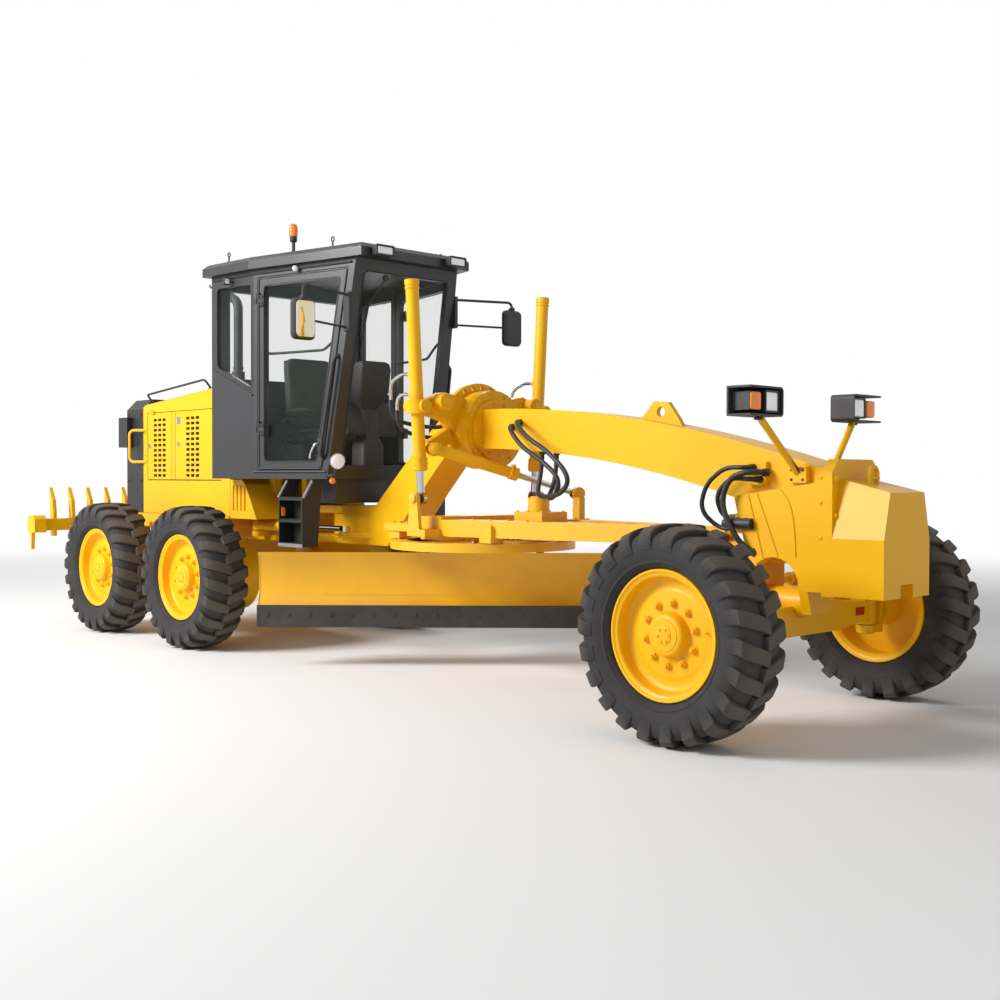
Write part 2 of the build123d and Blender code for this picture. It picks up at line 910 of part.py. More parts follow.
def hood_rail():
    # A long hoop that leans outward from its feet on the hood.
    feet = [(x, -500, hood_top_at(x) + rail_radius + seat_gap) for x in hood_rail_ends]
    bar = [(x, -572, hood_top_at(x) + 96) for x in hood_rail_ends]
    pads = Part()
    for x, y, z in feet:
        pads += block(x - 22, x + 22, y - 22, y + 22, z - rail_radius, z + 12) - hood_solid(
            -seat_gap, hood_rear_x, hood_front_x
        )
    return bent_bar([feet[0], bar[0], bar[1], feet[1]], rail_radius, 30) + pads


save("steps", make_steps())


def make_mirror(side, head_z, arm_z):
    # A rounded head hangs from a bent arm, with a short strut to the front post.
    head_y = mirror_y
    face = Plane(origin=(at(mirror_x), head_y, head_z), x_dir=(0, 1, 0), z_dir=(1, 0, 0))
    outline = face * RectangleRounded(mirror_width, mirror_height, 42)
    head = extrude(outline, amount=30) + extrude(Pos(30, 0, 0) * outline, amount=20, taper=35)
    head -= extrude(face * RectangleRounded(mirror_width - 20, mirror_height - 20, 34), amount=5)
    post_x = cab_front_at(arm_z) - 10
    post_y = door_post_half - cab_taper * (post_x - door_post_x)
    corner = (mirror_x + 18, head_y, arm_z)
    arm = bent_bar([(post_x, post_y, arm_z - 14), corner, (mirror_x + 18, head_y, head_z + 100)], 11, 40)
    strut_x = cab_front_at(head_z) - 8
    strut_y = door_post_half - cab_taper * (strut_x - door_post_x)
    strut = rod((strut_x, strut_y, head_z), (mirror_x + 20, head_y - 40, head_z), 9)
    foot = block(strut_x - 16, post_x + 16, strut_y - 14, post_y + 24, head_z - 30, arm_z + 14)
    piece = head + arm + strut + foot - cab_prism(-seat_gap, cab_low_z, cab_high_z)
    return piece if side > 0 else mirror(piece, about=Plane.XZ)


save("mirrors", make_mirror(1, 2720, 2940) + make_mirror(-1, 2610, 2870))


# Beacon outline: (radius, height over the roof)
beacon_outline = [
    (0, 0), (42, 0), (42, 8), (14, 16), (14, 92), (30, 98), (30, 138), (36, 140), (36, 214), (24, 238), (
        0, 245
    )
]


def make_roof_lamps():
    # A beacon stands on a stem over the right side, and two lamps sit on the front edge of the roof.
    line = Polyline(*[(r, 0, z) for r, z in beacon_outline], close=True)
    beacon = Pos(at(2350), -620, roof_high_z + seat_gap) * revolve(make_face(line), axis=Axis.Z)
    x0 = cab_front_high_x + 2 * roof_overhang + seat_gap
    lamp = block(x0, x0 + 76, 285, 465, 3153, 3239)
    lamp = fillet(lamp.edges().filter_by(Axis.X), 14)
    lamp -= block(x0 + 66, x0 + 80, 299, 451, 3167, 3225)
    return beacon + both_sides(lamp)


save("roof_lamps", make_roof_lamps())


def gooseneck():
    # One boxed outline: it rises from the hinge, runs over the circle and drops to the bolster.
    low = hinge_low_z
    rear_x = hinge_x + 143
    bottom_mid = (at(5300), -beam_half, 1553)
    path = [
        (rear_x, low), (2976, low), (3049, 939), (3388, 1300), (3603, 1511), (3745, 1640), (
            4216, beam_bottom_z
        )
    ]
    rising = Polyline(*[(at(x), -beam_half, z) for x, z in path])
    under = ThreePointArc((at(4216), -beam_half, beam_bottom_z), bottom_mid, (at(6395), -beam_half, 1317))
    neck_path = [(6395, 1317), (6510, 1043), (6600, 937), (flange_x, 937), (flange_x, 1478)]
    neck = Polyline(*[(at(x), -beam_half, z) for x, z in neck_path])
    top = ThreePointArc(
        (at(flange_x), -beam_half, 1478), (at(5600), -beam_half, 1819), (at(4215), -beam_half, beam_top_z)
    )
    back = [
        (4215, beam_top_z), (leg_top_x, beam_top_z - 8), (3268, 1589), (2821, 1196), (rear_x, 1196),
        (rear_x, low)
    ]
    leg = Polyline(*[(at(x), -beam_half, z) for x, z in back])
    return extrude(make_face(rising + under + neck + top + leg), amount=2 * beam_half, dir=(0, 1, 0))


def gooseneck_between(x0, x1):
    return gooseneck() & block(x0, x1, -beam_half - 5, beam_half + 5, 800, 2100)


def make_front_frame():
    # The leg from the hinge up to the saddle drum, with a tongue between the clevis plates.
    frame = gooseneck_between(hinge_x, neck_start_x - seat_gap)
    lower, upper = clevis_levels()
    z0 = lower[1] + panel_gap
    z1 = upper[0] - panel_gap
    tongue = block(hinge_x, hinge_x + 163, -hinge_eye_radius + 8, hinge_eye_radius - 8, z0, z1)
    tongue += rod((hinge_x, 0, z0), (hinge_x, 0, z1), hinge_eye_radius - 8)
    frame += tongue
    frame -= rod((hinge_x, 0, z0 - 5), (hinge_x, 0, z1 + 5), hinge_pin_radius + slide_gap)
    frame += rod((saddle_x - drum_half, 0, saddle_z), (saddle_x + drum_half, 0, saddle_z), drum_radius)
    return frame + artic_lugs()


def make_front_bolster():
    return gooseneck_between(bolster_x, flange_x) + bolster() + front_flange() + ball_socket()


def bolster():
    # Side boxes stand out from the neck above the axle, with an arch over the axle pivot.
    points = bolster_rear_edge + [(6600, 940), (6610, 790), (flange_x + 10, 790), (flange_x + 10, 1420)]
    side = side_plate(points, beam_half - 5, bolster_half)
    arch_x = front_axle_x + 30
    side -= rod((arch_x, 100, 800), (arch_x, 300, 800), 175)
    ends = Part()
    boss = axle_boss_half + panel_gap
    for x0, x1 in (
        (front_axle_x - boss - 42, front_axle_x - boss), (front_axle_x + boss, front_axle_x + boss + 60)
    ):
        ends += cross_plate(
            [(-95, 640), (95, 640), (beam_half, 800), (beam_half, 960), (-beam_half, 960), (-beam_half, 800)],
            x0, x1
        )
    ends += rod(
        (front_axle_x - boss - 30, 0, axle_z), (front_axle_x + boss + 50, 0, axle_z), axle_pin_radius
    )
    ports = block(6500, 6630, -beam_half - port_reach, -beam_half + 5, 1395, 1535)
    ports += block(rear_port_x, 6560, -215, -165, 1105, 1225)
    return both_sides(side) + ends + ports


def front_flange():
    half = flange_half
    top = flange_top
    cut = flange_corner
    points = [(-half, flange_bottom), (-half, top - cut), (-half + cut, top)]
    points += [(-y, z) for y, z in reversed(points)]
    return cross_plate(points, flange_x, flange_x + flange_thickness)


def ball_socket():
    # Two cheeks behind the bolster hold the drawbar's ball on a cross pin.
    inner = ball_radius + panel_gap
    points = [
        (ball_x - 40, 930), (ball_x - 62, ball_z), (ball_x - 40, 1040), (6530, 1100), (6640, 1100),
        (6640, 945), (6560, 930)
    ]
    cheeks = both_sides(side_plate(points, inner, inner + 30))
    return cheeks + rod((ball_x, -inner - 24, ball_z), (ball_x, inner + 24, ball_z), ball_pin_radius)


def lift_eye():
    points = [(5480, 1800), (5560, 1850), (5640, 1940), (5760, 1930), (5840, 1830), (5900, 1740)]
    eye = side_plate(points, -18, 18)
    return eye - rod((5700, -30, 1868), (5700, 30, 1868), 34)


def artic_lugs():
    z0 = artic_z - 72
    z1 = artic_z - artic_bar_radius - panel_gap
    x = artic_rod_x
    root = beam_half - 10
    lug = plan_plate(
        [(x - 50, root), (x - 50, artic_rod_y), (x + 50, artic_rod_y), (x + 240, root)], z0, z1
    )
    lug += rod((x, artic_rod_y, z0), (x, artic_rod_y, z1), 50)
    return both_sides(lug)


save("front_frame", make_front_frame())
save("neck_beam", gooseneck_between(neck_start_x, bolster_x - seat_gap) + lift_eye())
save("front_bolster", make_front_bolster())


def make_nose():
    # A cast front weight: narrower at the top and sloped at its shoulders.
    x0 = flange_x + flange_thickness + seat_gap
    low = [(-250, 775), (250, 775), (250, 1100), (170, 1430), (-170, 1430), (-250, 1100)]
    nose = cross_plate(low, x0, nose_x)
    wedge = side_plate(
        [(x0 - 10, 1436), (nose_x + 10, 1357), (nose_x + 10, 1500), (x0 - 10, 1500)], -300, 300
    )
    nose -= wedge
    pocket = block(nose_x - 130, nose_x + 1, -70, 70, 775 - 1, 850)
    bail = rod((7230, -40, 1440), (7230, 40, 1440), 12)
    bail += rod((7230, -40, 1380), (7230, -40, 1452), 12) + rod((7230, 40, 1380), (7230, 40, 1452), 12)
    return nose - pocket + bail


save("nose_weight", make_nose())


def make_saddle():
    # A ring clamped on the beam's drum, with an arm to each lift cylinder and one for the shift cylinder.
    ring = tube((saddle_x - 105, 0, saddle_z), (saddle_x + 105, 0, saddle_z), 292, drum_radius + seat_gap)
    arm = [(150, 2010), (400, 2060), (520, 2010), (520, 1890), (360, 1850), (230, 1700)]
    web = cross_plate(arm, lift_x - 55, lift_x + 55)
    arms = both_sides(web) - rod((saddle_x - 120, 0, saddle_z), (saddle_x + 120, 0, saddle_z), 280)
    # A fork end reaches out to each trunnion collar.
    y_trunnion = lift_barrel_y + (lift_top_y - lift_barrel_y) * (trunnion_z - lift_barrel_z) / (
        lift_top_z - lift_barrel_z
    )
    collar = tube(
        (lift_x, y_trunnion - 2.9, trunnion_z - 50), (lift_x, y_trunnion + 2.9, trunnion_z + 50), 88,
        lift_barrel_radius + 22
    )
    collar += block(lift_x - 50, lift_x + 50, 500, y_trunnion - 76, trunnion_z - 42, trunnion_z + 42)
    shift_arm = cross_plate(
        [(-230, 1640), (-470, 1590), (-510, 1700), (-330, 1800)], saddle_x - 100, saddle_x - 40
    )
    shift_arm -= rod((saddle_x - 120, 0, saddle_z), (saddle_x + 120, 0, saddle_z), 280)
    lock = lock_plate()
    lug = rod(shift_point(shift_base, -98), shift_point(shift_base, -50), 48)
    lug += rod(shift_point(shift_base, -98), shift_point(shift_base, 48), eye_pin_radius)
    return ring + arms + both_sides(collar) + shift_arm + lug + lock


def lock_plate():
    # A sector over the ring with radial slots, where the saddle's lock pin drops in.
    x0, x1 = saddle_x - 105, saddle_x - 65
    reach = 500
    wedge = [(0, saddle_z)]
    for turn in (lock_start, 100, lock_end):
        wedge.append((reach * cos(radians(turn)), saddle_z + reach * sin(radians(turn))))
    plate = tube((x0, 0, saddle_z), (x1, 0, saddle_z), 355, 286) & cross_plate(wedge, x0 - 1, x1 + 1)
    for k in range(lock_slots):
        turn = lock_start + (k + 0.5) * (lock_end - lock_start) / lock_slots
        plate -= Pos(at(x0), 0, saddle_z) * Rot(turn, 0, 0) * Pos(20, 323, 0) * Box(60, 36, 34)
    return plate


def shift_point(pin, distance):
    # A point beside a shift cylinder pin, along the level pin axis square to the cylinder.
    run = shift_end[0] - shift_base[0]
    rise = shift_end[1] - shift_base[1]
    length = sqrt(run * run + rise * rise)
    return (pin[0] + distance * rise / length, pin[1] - distance * run / length, pin[2])


save("saddle", make_saddle())


def lift_point(side, z):
    share = (z - lift_barrel_z) / (lift_top_z - lift_barrel_z)
    return (lift_x, side * (lift_barrel_y + share * (lift_top_y - lift_barrel_y)), z)


def make_lift_barrels():
    def barrel(side):
        tube_body = rod(lift_point(side, lift_barrel_z), lift_point(side, lift_top_z), lift_barrel_radius)
        tube_body += rod(
            lift_point(side, lift_barrel_z), lift_point(side, lift_barrel_z + 90), lift_barrel_radius + 9
        )
        tube_body += rod(
            lift_point(side, lift_top_z - 40), lift_point(side, lift_top_z), lift_barrel_radius + 5
        )
        tube_body += rod(
            lift_point(side, trunnion_z - 40), lift_point(side, trunnion_z + 40), lift_barrel_radius + 21
        )
        bore = rod(
            lift_point(side, lift_barrel_z - 10), lift_point(side, lift_top_z - 60),
            lift_rod_radius + seat_gap
        )
        return tube_body - bore

    return barrel(1) + barrel(-1)


save("lift_barrels", make_lift_barrels())


def make_lift_rod(side):
    end = lift_point(side, lift_pin_z + eye_radius - 12)
    bar = rod(end, lift_point(side, lift_barrel_z + lift_lower + 90), lift_rod_radius)
    x, y, z = lift_point(side, lift_pin_z)
    y_in = y - side * (eye_thickness / 2)
    y_out = y + side * (eye_thickness / 2)
    eye = rod((x, y_in, z), (x, y_out, z), eye_radius)
    return (bar + eye) - rod((x, y - 60, z), (x, y + 60, z), eye_pin_radius + 1)


save("lift_rod_left", make_lift_rod(1))
save("lift_rod_right", make_lift_rod(-1))


def make_drawbar():
    # An A-shaped frame: two side beams run from the rear cross member to the ball at the front.
    rear_x = lift_x - 100
    beam = [
        (rear_x, 500), (rear_x, 330), (5850, 60), (6250, 32), (6250, 62), (5900, 120), (4150, 500)
    ]
    frame = both_sides(plan_plate(beam, 1010, 1130))
    frame += block(rear_x, rear_x + 230, -500, 500, drawbar_bottom + 12, 1150)
    frame += plan_plate([(4700, -300), (5000, -260), (5000, 260), (4700, 300)], 1000, 1120)
    neck = rod((5850, 0, 1050), (ball_x, 0, ball_z), 44)
    frame += neck + Pos(at(ball_x), 0, ball_z) * Sphere(ball_radius)
    frame += block(5700, 6200, -60, 60, 1010, 1090)
    frame -= rod((ball_x, -90, ball_z), (ball_x, 90, ball_z), ball_pin_radius + slide_gap)
    # Guide shoes hold the circle's rim from above and outside.
    for x, y in ((circle_x - 510, 390), (circle_x + 510, 390)):
        frame += both_sides(block(x - 60, x + 60, y - 60, y + 60, circle_top + panel_gap, 1090))
    frame += both_sides(
        plan_plate(
            [(rear_x + 10, 500), (circle_x - 620, 460), (circle_x - 620, 330), (rear_x + 10, 330)], 1030,
            1090
        )
    )
    frame += rod((circle_x, 0, circle_top + panel_gap), (circle_x, 0, 1080), 170)
    frame += block(circle_x - 10, circle_x + 10 + 170, -420, 420, 1030, 1080) + block(
        circle_x, 4800, -70, 70, 1030, 1080
    )
    frame += rod((circle_x, 0, circle_bottom + 3), (circle_x, 0, circle_top + 20), circle_pivot_radius)
    for side in (1, -1):
        frame += lift_lug(side)
    frame += shift_lug() + circle_drive()
    return frame


def lift_lug(side):
    x, y, z = lift_point(side, lift_pin_z)
    y0 = y + side * (eye_thickness / 2 + eye_space)
    y1 = y0 + side * 30
    lug = side_plate([(x - 70, 1010), (x + 70, 1010), (x + 40, z), (x - 40, z)], min(y0, y1), max(y0, y1))
    lug += rod((x, y0, z), (x, y1, z), 44)
    foot = block(x - 70, x + 130, min(side * 480, y1), max(side * 480, y1), 1010, 1060)
    return lug + foot


def shift_lug():
    # A post on the left beam carries the shift cylinder's end plate.
    near = shift_point(shift_end, eye_pin_radius + shift_eye_space)
    far = shift_point(shift_end, eye_pin_radius + shift_eye_space + 26)
    x, y, z = shift_point(shift_end, eye_pin_radius + shift_eye_space + 13)
    post = block(x - 34, x + 34, y - 30, y + 30, 1100, z - 30) - rod(shift_point(shift_end, -60), near, 105)
    return post + rod(near, far, 46) + block(x - 90, x + 60, 340, y + 60, 1010, 1130)


def circle_drive():
    # Gear case and motor that turn the circle, over the drawbar's right beam.
    x = 4560
    case = block(x - 120, x + 160, -130, 130, 1075, 1190)
    return case + rod((x, 0, 1190), (x, 0, 1290), 78) + rod((x - 180, 60, 1150), (x - 40, 60, 1150), 48)


save("drawbar", make_drawbar())


def local_to_machine(piece):
    # Blade parts are drawn with X along the blade and -Y towards its front, then turned to the blade's angle.
    return Pos(at(circle_x), 0, 0) * Rot(0, 0, blade_angle) * piece


def local_box(x0, x1, y0, y1, z0, z1):
    return Pos((x0 + x1) / 2, (y0 + y1) / 2, (z0 + z1) / 2) * Box(x1 - x0, y1 - y0, z1 - z0)


def local_bar(x0, x1, y, z, radius):
    return Pos((x0 + x1) / 2, y, z) * Rot(0, 90, 0) * Cylinder(radius, x1 - x0)


def local_plate(points, x0, x1):
    line = Polyline(*[(x0, y, z) for y, z in points], close=True)
    return extrude(make_face(line), amount=x1 - x0, dir=(1, 0, 0))


# The blade sits a little along and behind the middle of the circle.
blade_place = Pos(blade_along, blade_back, 0)


def make_circle():
    height = circle_top - circle_bottom
    ring = Pos(0, 0, circle_bottom + height / 2) * (
        Cylinder(circle_radius, height) - Cylinder(circle_inner_radius, height)
    )
    reach = circle_inner_radius + 28
    cross = local_box(-reach, reach, -90, 90, circle_bottom, circle_bottom + 30)
    cross += local_box(-90, 90, -reach, reach, circle_bottom, circle_bottom + 30)
    hub = Pos(0, 0, circle_bottom + 15) * Cylinder(150, 30)
    ring += cross + hub
    ring -= Pos(0, 0, circle_bottom) * Cylinder(circle_pivot_radius + slide_gap, 200)
    # Two arms hang behind the blade and end in the tip pivots.
    for u in (-circle_arm_u, circle_arm_u):
        arm = [
            (60, circle_bottom + 30), (60, circle_bottom), (215, circle_bottom), (215, 700),
            (tip_axis_back - 20, tip_axis_z + 40), (tip_axis_back - 40, tip_axis_z), (
                tip_axis_back, tip_axis_z - 44
            ),
            (tip_axis_back + 60, tip_axis_z - 30), (310, 700), (430, circle_bottom), (
                430, circle_bottom + 30
            ),
        ]
        ring += blade_place * local_plate(arm, u - 30, u + 30)
        ring -= blade_place * local_bar(
            u - 60, u + 60, tip_axis_back, tip_axis_z, eye_pin_radius + slide_gap
        )
    return local_to_machine(ring)


save("circle", make_circle())


def board_arc(shift):
    # Concave board section: an arc from the lower lip to the top edge, bowed back by blade_bow.
    low = (0, -62 + shift, blade_bottom)
    mid = (0, -62 + blade_bow + shift, (blade_top + blade_bottom) / 2)
    high = (0, -48 + shift, blade_top)
    return low, mid, high


def make_board():
    front = board_arc(0)
    back = board_arc(blade_thickness)
    face = make_face(
        ThreePointArc(*front) + Line(front[2], back[2]) + ThreePointArc(*reversed(back)) + Line(
            back[0], front[0]
        )
    )
    half = blade_length / 2
    board = Pos(-half, 0, 0) * extrude(face, amount=blade_length, dir=(1, 0, 0))
    for z in (rail_low_z, rail_high_z):
        y_rail = board_back(z)
        y_out = slide_back_y
        board += local_box(
            -slide_rail_half, slide_rail_half, y_rail, y_out, z - slide_rail_height / 2,
            z + slide_rail_height / 2
        )
    return local_to_machine(blade_place * board)


def board_back(z):
    # Just inside the back of the board at this height.
    low, mid, high = board_arc(0)
    share = (z - low[2]) / (high[2] - low[2])
    return low[1] + share * (high[1] - low[1]) + 4 * blade_bow * share * (1 - share) + 4


def make_edge():
    # The cutting edge is bolted to the board's lower front and leans with it.
    half = blade_length / 2
    lean = 0.079
    back_low = board_arc(0)[0][1] - seat_gap - lean * (blade_bottom - edge_bottom)
    back_high = back_low + lean * edge_height
    edge_top = edge_bottom + edge_height
    section = [(back_low - edge_thickness, edge_bottom), (back_low, edge_bottom)]
    section += [(back_high, edge_top), (back_high - edge_thickness, edge_top)]
    return local_to_machine(blade_place * local_plate(section, -half, half))


save("mouldboard", make_board())
save("cutting_edge", make_edge())


def make_carrier():
    # A beam behind the board with jaws that hold its two slide rails.
    y0 = slide_back_y + panel_gap
    carrier = Part()
    for u in (-carrier_half + 60, carrier_half - 60):
        sign = 1 if u > 0 else -1
        inner = abs(u) - 38
        carrier += carrier_side(sign * inner if sign > 0 else -inner - 76, 76, y0)
    carrier += local_box(-carrier_half + 30, carrier_half - 30, y0, y0 + 26, 600, 690)
    for u in (-circle_arm_u, circle_arm_u):
        for shift in (-62, 36):
            lug = local_plate(
                [
                    (y0 + 4, 600), (y0 + 4, 470), (tip_axis_back, 462),
                    (tip_axis_back + 40, 490), (tip_axis_back + 34, 540), (y0 + 20, 640),
                ],
                u + shift, u + shift + 26
            )
            carrier += lug
        carrier += local_bar(u - 62, u + 62, tip_axis_back, tip_axis_z, eye_pin_radius)
    return local_to_machine(blade_place * carrier)


def carrier_side(u, width, y0):
    jaw = local_box(u, u + width, y0 + 0, y0 + 26, rail_low_z - 60, rail_high_z + 60)
    for z in (rail_low_z, rail_high_z):
        half = slide_rail_height / 2 + slide_gap
        for z0, z1 in ((z - half - 20, z - half), (z + half, z + half + 20)):
            jaw += local_box(u, u + width, board_back((z0 + z1) / 2) + 42, y0 + 2, z0, z1)
    return jaw


save("blade_carrier", make_carrier())


def cylinder_parts(base, end, mouth, radius, bar_radius, bar_start):
    # A barrel from the base pin and a bar to the end pin, by distances along their common line.
    a = Vector(*base)
    span = Vector(*end) - a
    way = span.normalized()

    def along(distance):
        return tuple(a + way * distance)

    barrel = rod(along(38), along(mouth), radius)
    barrel += rod(along(mouth - 50), along(mouth), radius + 7)
    barrel -= rod(along(90), along(mouth + 2), bar_radius + seat_gap)
    bar = rod(along(bar_start), along(span.length - 36), bar_radius)
    return barrel, bar


def make_artic(side):
    base = (artic_base_x, side * artic_base_y, artic_z)
    end = (artic_rod_x, side * artic_rod_y, artic_z)
    barrel, bar = cylinder_parts(base, end, 660, artic_radius, artic_bar_radius, 260)
    x, y, z = base
    barrel += rod((x, y, z - 38), (x, y, z + 38), 46)
    barrel -= rod((x, y, z - 60), (x, y, z + 60), eye_pin_radius + slide_gap)
    x, y, z = end
    bar += rod((x, y, z - artic_bar_radius), (x, y, z + artic_bar_radius), 44)
    return barrel, bar


for name, side in (("left", 1), ("right", -1)):
    barrel, bar = make_artic(side)
    save(f"artic_barrel_{name}", barrel)
    save(f"artic_rod_{name}", bar)


def make_shift():
    barrel, bar = cylinder_parts(shift_base, shift_end, 655, shift_radius, 22, 170)
    barrel += rod(shift_point(shift_base, -shift_radius), shift_point(shift_base, shift_radius), 46)
    barrel -= rod(shift_point(shift_base, -60), shift_point(shift_base, 60), eye_pin_radius + slide_gap)
    bar += rod(shift_point(shift_end, -20), shift_point(shift_end, 20), 44)
    return barrel, bar


barrel, bar = make_shift()
save("shift_barrel", barrel)
save("shift_rod", bar)


def make_axle():
    boss_half = axle_boss_half
    axle = rod(
        (front_axle_x - boss_half, 0, axle_z), (front_axle_x + boss_half, 0, axle_z), axle_boss_radius
    )
    beam = [
        (-790, 540), (-400, 500), (400, 500), (790, 540), (790, 655), (400, 672), (120, 680), (-120, 680),
        (-400, 672), (-790, 655)
    ]
    axle += cross_plate(beam, front_axle_x - axle_half_depth, front_axle_x + axle_half_depth)
    for side in (1, -1):
        y = side * kingpin_y
        z0 = hub_z - axle_end_half
        axle += rod((front_axle_x, y, z0), (front_axle_x, y, hub_z + axle_end_half), knuckle_boss_radius)
        axle += block(
            front_axle_x - 50, front_axle_x + 50, min(y, side * 760), max(y, side * 760), z0 + 20,
            hub_z + axle_end_half - 20
        )
        axle -= rod(
            (front_axle_x, y, z0 - 5), (front_axle_x, y, hub_z + axle_end_half + 5),
            kingpin_radius + slide_gap
        )
    axle -= rod(
        (front_axle_x - 200, 0, axle_z), (front_axle_x + 200, 0, axle_z), axle_pin_radius + slide_gap
    )
    # Guide bushes of the steering tie rod stand behind the beam.
    x = front_axle_x - steer_arm
    for y in (-330, 330):
        axle += block(x - 30, front_axle_x - 60, y - 30, y + 30, 640, tie_z - 30)
        axle += rod((x, y - 30, tie_z), (x, y + 30, tie_z), 46)
        axle -= rod((x, y - 40, tie_z), (x, y + 40, tie_z), tie_rod_radius + seat_gap)
    return axle


save("front_axle", make_axle())


def make_knuckle(side):
    y = side * kingpin_y
    knuckle = Part()
    low = hub_z - axle_end_half - panel_gap
    high = hub_z + axle_end_half + panel_gap
    outer = kingpin_y + knuckle_boss_radius + panel_gap
    for z0, z1 in ((low - yoke_thickness, low), (high, high + yoke_thickness)):
        knuckle += rod((front_axle_x, y, z0), (front_axle_x, y, z1), knuckle_boss_radius)
        knuckle += block(
            front_axle_x - 52, front_axle_x + 52, min(y, side * (outer + 34)), max(y, side * (outer + 34)),
            z0, z1
        )
    knuckle += block(
        front_axle_x - 62, front_axle_x + 62, min(side * outer, side * (outer + 34)),
        max(side * outer, side * (outer + 34)), low - yoke_thickness, high + yoke_thickness
    )
    knuckle += rod(
        (front_axle_x, y, low - yoke_thickness), (front_axle_x, y, high + yoke_thickness), kingpin_radius
    )
    knuckle += spindle(front_axle_x, side, outer)
    arm_low = arm_top_z - steer_arm_thickness - 2
    knuckle += block(front_axle_x - steer_arm, front_axle_x + 40, y - 32, y + 32, arm_low, arm_top_z)
    knuckle += rod((front_axle_x - steer_arm, y, arm_low), (front_axle_x - steer_arm, y, arm_top_z), 36)
    return knuckle


save("knuckle_left", make_knuckle(1))
save("knuckle_right", make_knuckle(-1))


def make_tie_rod():
    x = front_axle_x - steer_arm
    bar = rod((x, -kingpin_y, tie_z), (x, kingpin_y, tie_z), tie_rod_radius)
    bar += both_sides(rod((x, kingpin_y, arm_top_z + 5), (x, kingpin_y, tie_z + 26), tie_end_radius))
    return bar


save("tie_rod", make_tie_rod())


def make_head_lamps():
    # A hood folded from plate, open in front and outboard, stands on a leaning post with its lamps inside.
    x0, x1 = 6720, 6880
    y0, y1 = 372, 691
    z0, z1 = 1782, 1950
    shell = block(x0, x1, y0, y1, z0, z1)
    shell = fillet(shell.edges().filter_by(Axis.X).sort_by(Axis.Y)[:2], 26)
    shell -= block(x0 + 12, x1 + 20, y0 + 12, y1 + 20, z0 + 12, z1 - 12)
    lens = block(x0 + 10, x1 - 12, y0 + 24, y0 + 158, z0 + 22, z1 - 22)
    lens -= block(x1 - 20, x1, y0 + 34, y0 + 148, z0 + 32, z1 - 32)
    indicator = block(x0 + 10, x1 - 30, y0 + 188, y0 + 283, z0 + 33, z1 - 33)
    post = rod((6850, beam_half + 24, 1460), (6800, 500, z0 + 8), 20)
    foot = block(6790, 6910, beam_half + seat_gap, beam_half + 40, 1412, 1500)
    return both_sides(shell + lens + indicator + post + foot)


save("head_lamps", make_head_lamps())


def make_ripper():
    # A cross beam on two arms, with its shanks stowed point up.
    half = shank_places()[-1] - pocket_half + 10
    beam = block(ripper_beam_x - ripper_beam_half, ripper_beam_x + ripper_beam_half, -half, half, 880, 1000)
    y0 = ripper_arm_y - 18
    arm = side_plate(
        [(ripper_beam_x, 900), (ripper_pivot_x - 40, 920), (ripper_pivot_x - 40, 1000), (ripper_beam_x, 985)],
        y0, y0 + 36
    )
    arm += rod((ripper_pivot_x, y0, ripper_pivot_z), (ripper_pivot_x, y0 + 36, ripper_pivot_z), 50)
    arm -= rod(
        (ripper_pivot_x, y0 - 60, ripper_pivot_z), (ripper_pivot_x, y0 + 60, ripper_pivot_z),
        eye_pin_radius + slide_gap
    )
    beam += both_sides(arm)
    # Each shank stands in a pocket in the rear of the beam.
    for y in shank_places()[1:-1]:
        notch_front = ripper_beam_x + shank_front + seat_gap
        notch_half = shank_half + seat_gap
        beam -= block(ripper_beam_x - 70, notch_front, y - notch_half, y + notch_half, 870, 1010)
    beam += block(ripper_beam_x + 30, ripper_rod_x + 40, -62, -26, 960, ripper_rod_z)
    beam += rod((ripper_rod_x, -62, ripper_rod_z), (ripper_rod_x, -26, ripper_rod_z), 44)
    # The end pockets are taller, and hold their shanks point down.
    for y in (shank_places()[0], shank_places()[-1]):
        beam += end_pocket(y)
    return Compound([*beam.solids(), *[shank(y).solid() for y in shank_places()]])


def shank_places():
    return [shank_spacing * (k - (shank_count - 1) / 2) for k in range(shank_count)]


def end_pocket(y):
    back = ripper_beam_x - shank_back
    x1 = ripper_beam_x + 110
    points = [(back, 864), (x1, 864), (x1, 1000), (x1 - 36, 1035), (back + 20, 1035), (back, 1000)]
    return side_plate(points, y - pocket_half, y + pocket_half)


def shank(y):
    back = ripper_beam_x - shank_back
    front = ripper_beam_x + shank_front
    if abs(y) > shank_places()[-2] + 1:
        # This one hangs behind its pocket with its point down.
        back = -ripper_reach
        front = ripper_beam_x - shank_back - seat_gap
        down = [
            (back + 2, 1000), (front, 1012), (front, 840), (front - 6, 760), (back + 16, shank_low_z),
            (back, 800)
        ]
        return side_plate(down, y - shank_half, y + shank_half)
    points = [
        (back, 820), (front, 820), (front, 1040), (front - 22, 1190), (-ripper_reach, 1320),
        (back - 22, 1200)
    ]
    return side_plate(points, y - shank_half, y + shank_half)


save("ripper", make_ripper())


def make_ripper_cylinder():
    base = (ripper_cyl_x, 0, ripper_cyl_z)
    end = (ripper_rod_x, 0, ripper_rod_z)
    barrel, bar = cylinder_parts(base, end, 520, 40, 22, 250)
    barrel += rod((base[0], -44, base[2]), (base[0], 40, base[2]), 44)
    barrel -= rod((base[0], -60, base[2]), (base[0], 60, base[2]), eye_pin_radius + slide_gap)
    bar += rod((end[0], -18, end[2]), (end[0], 18, end[2]), 44)
    return barrel, bar


barrel, bar = make_ripper_cylinder()
save("ripper_barrel", barrel)
save("ripper_rod", bar)


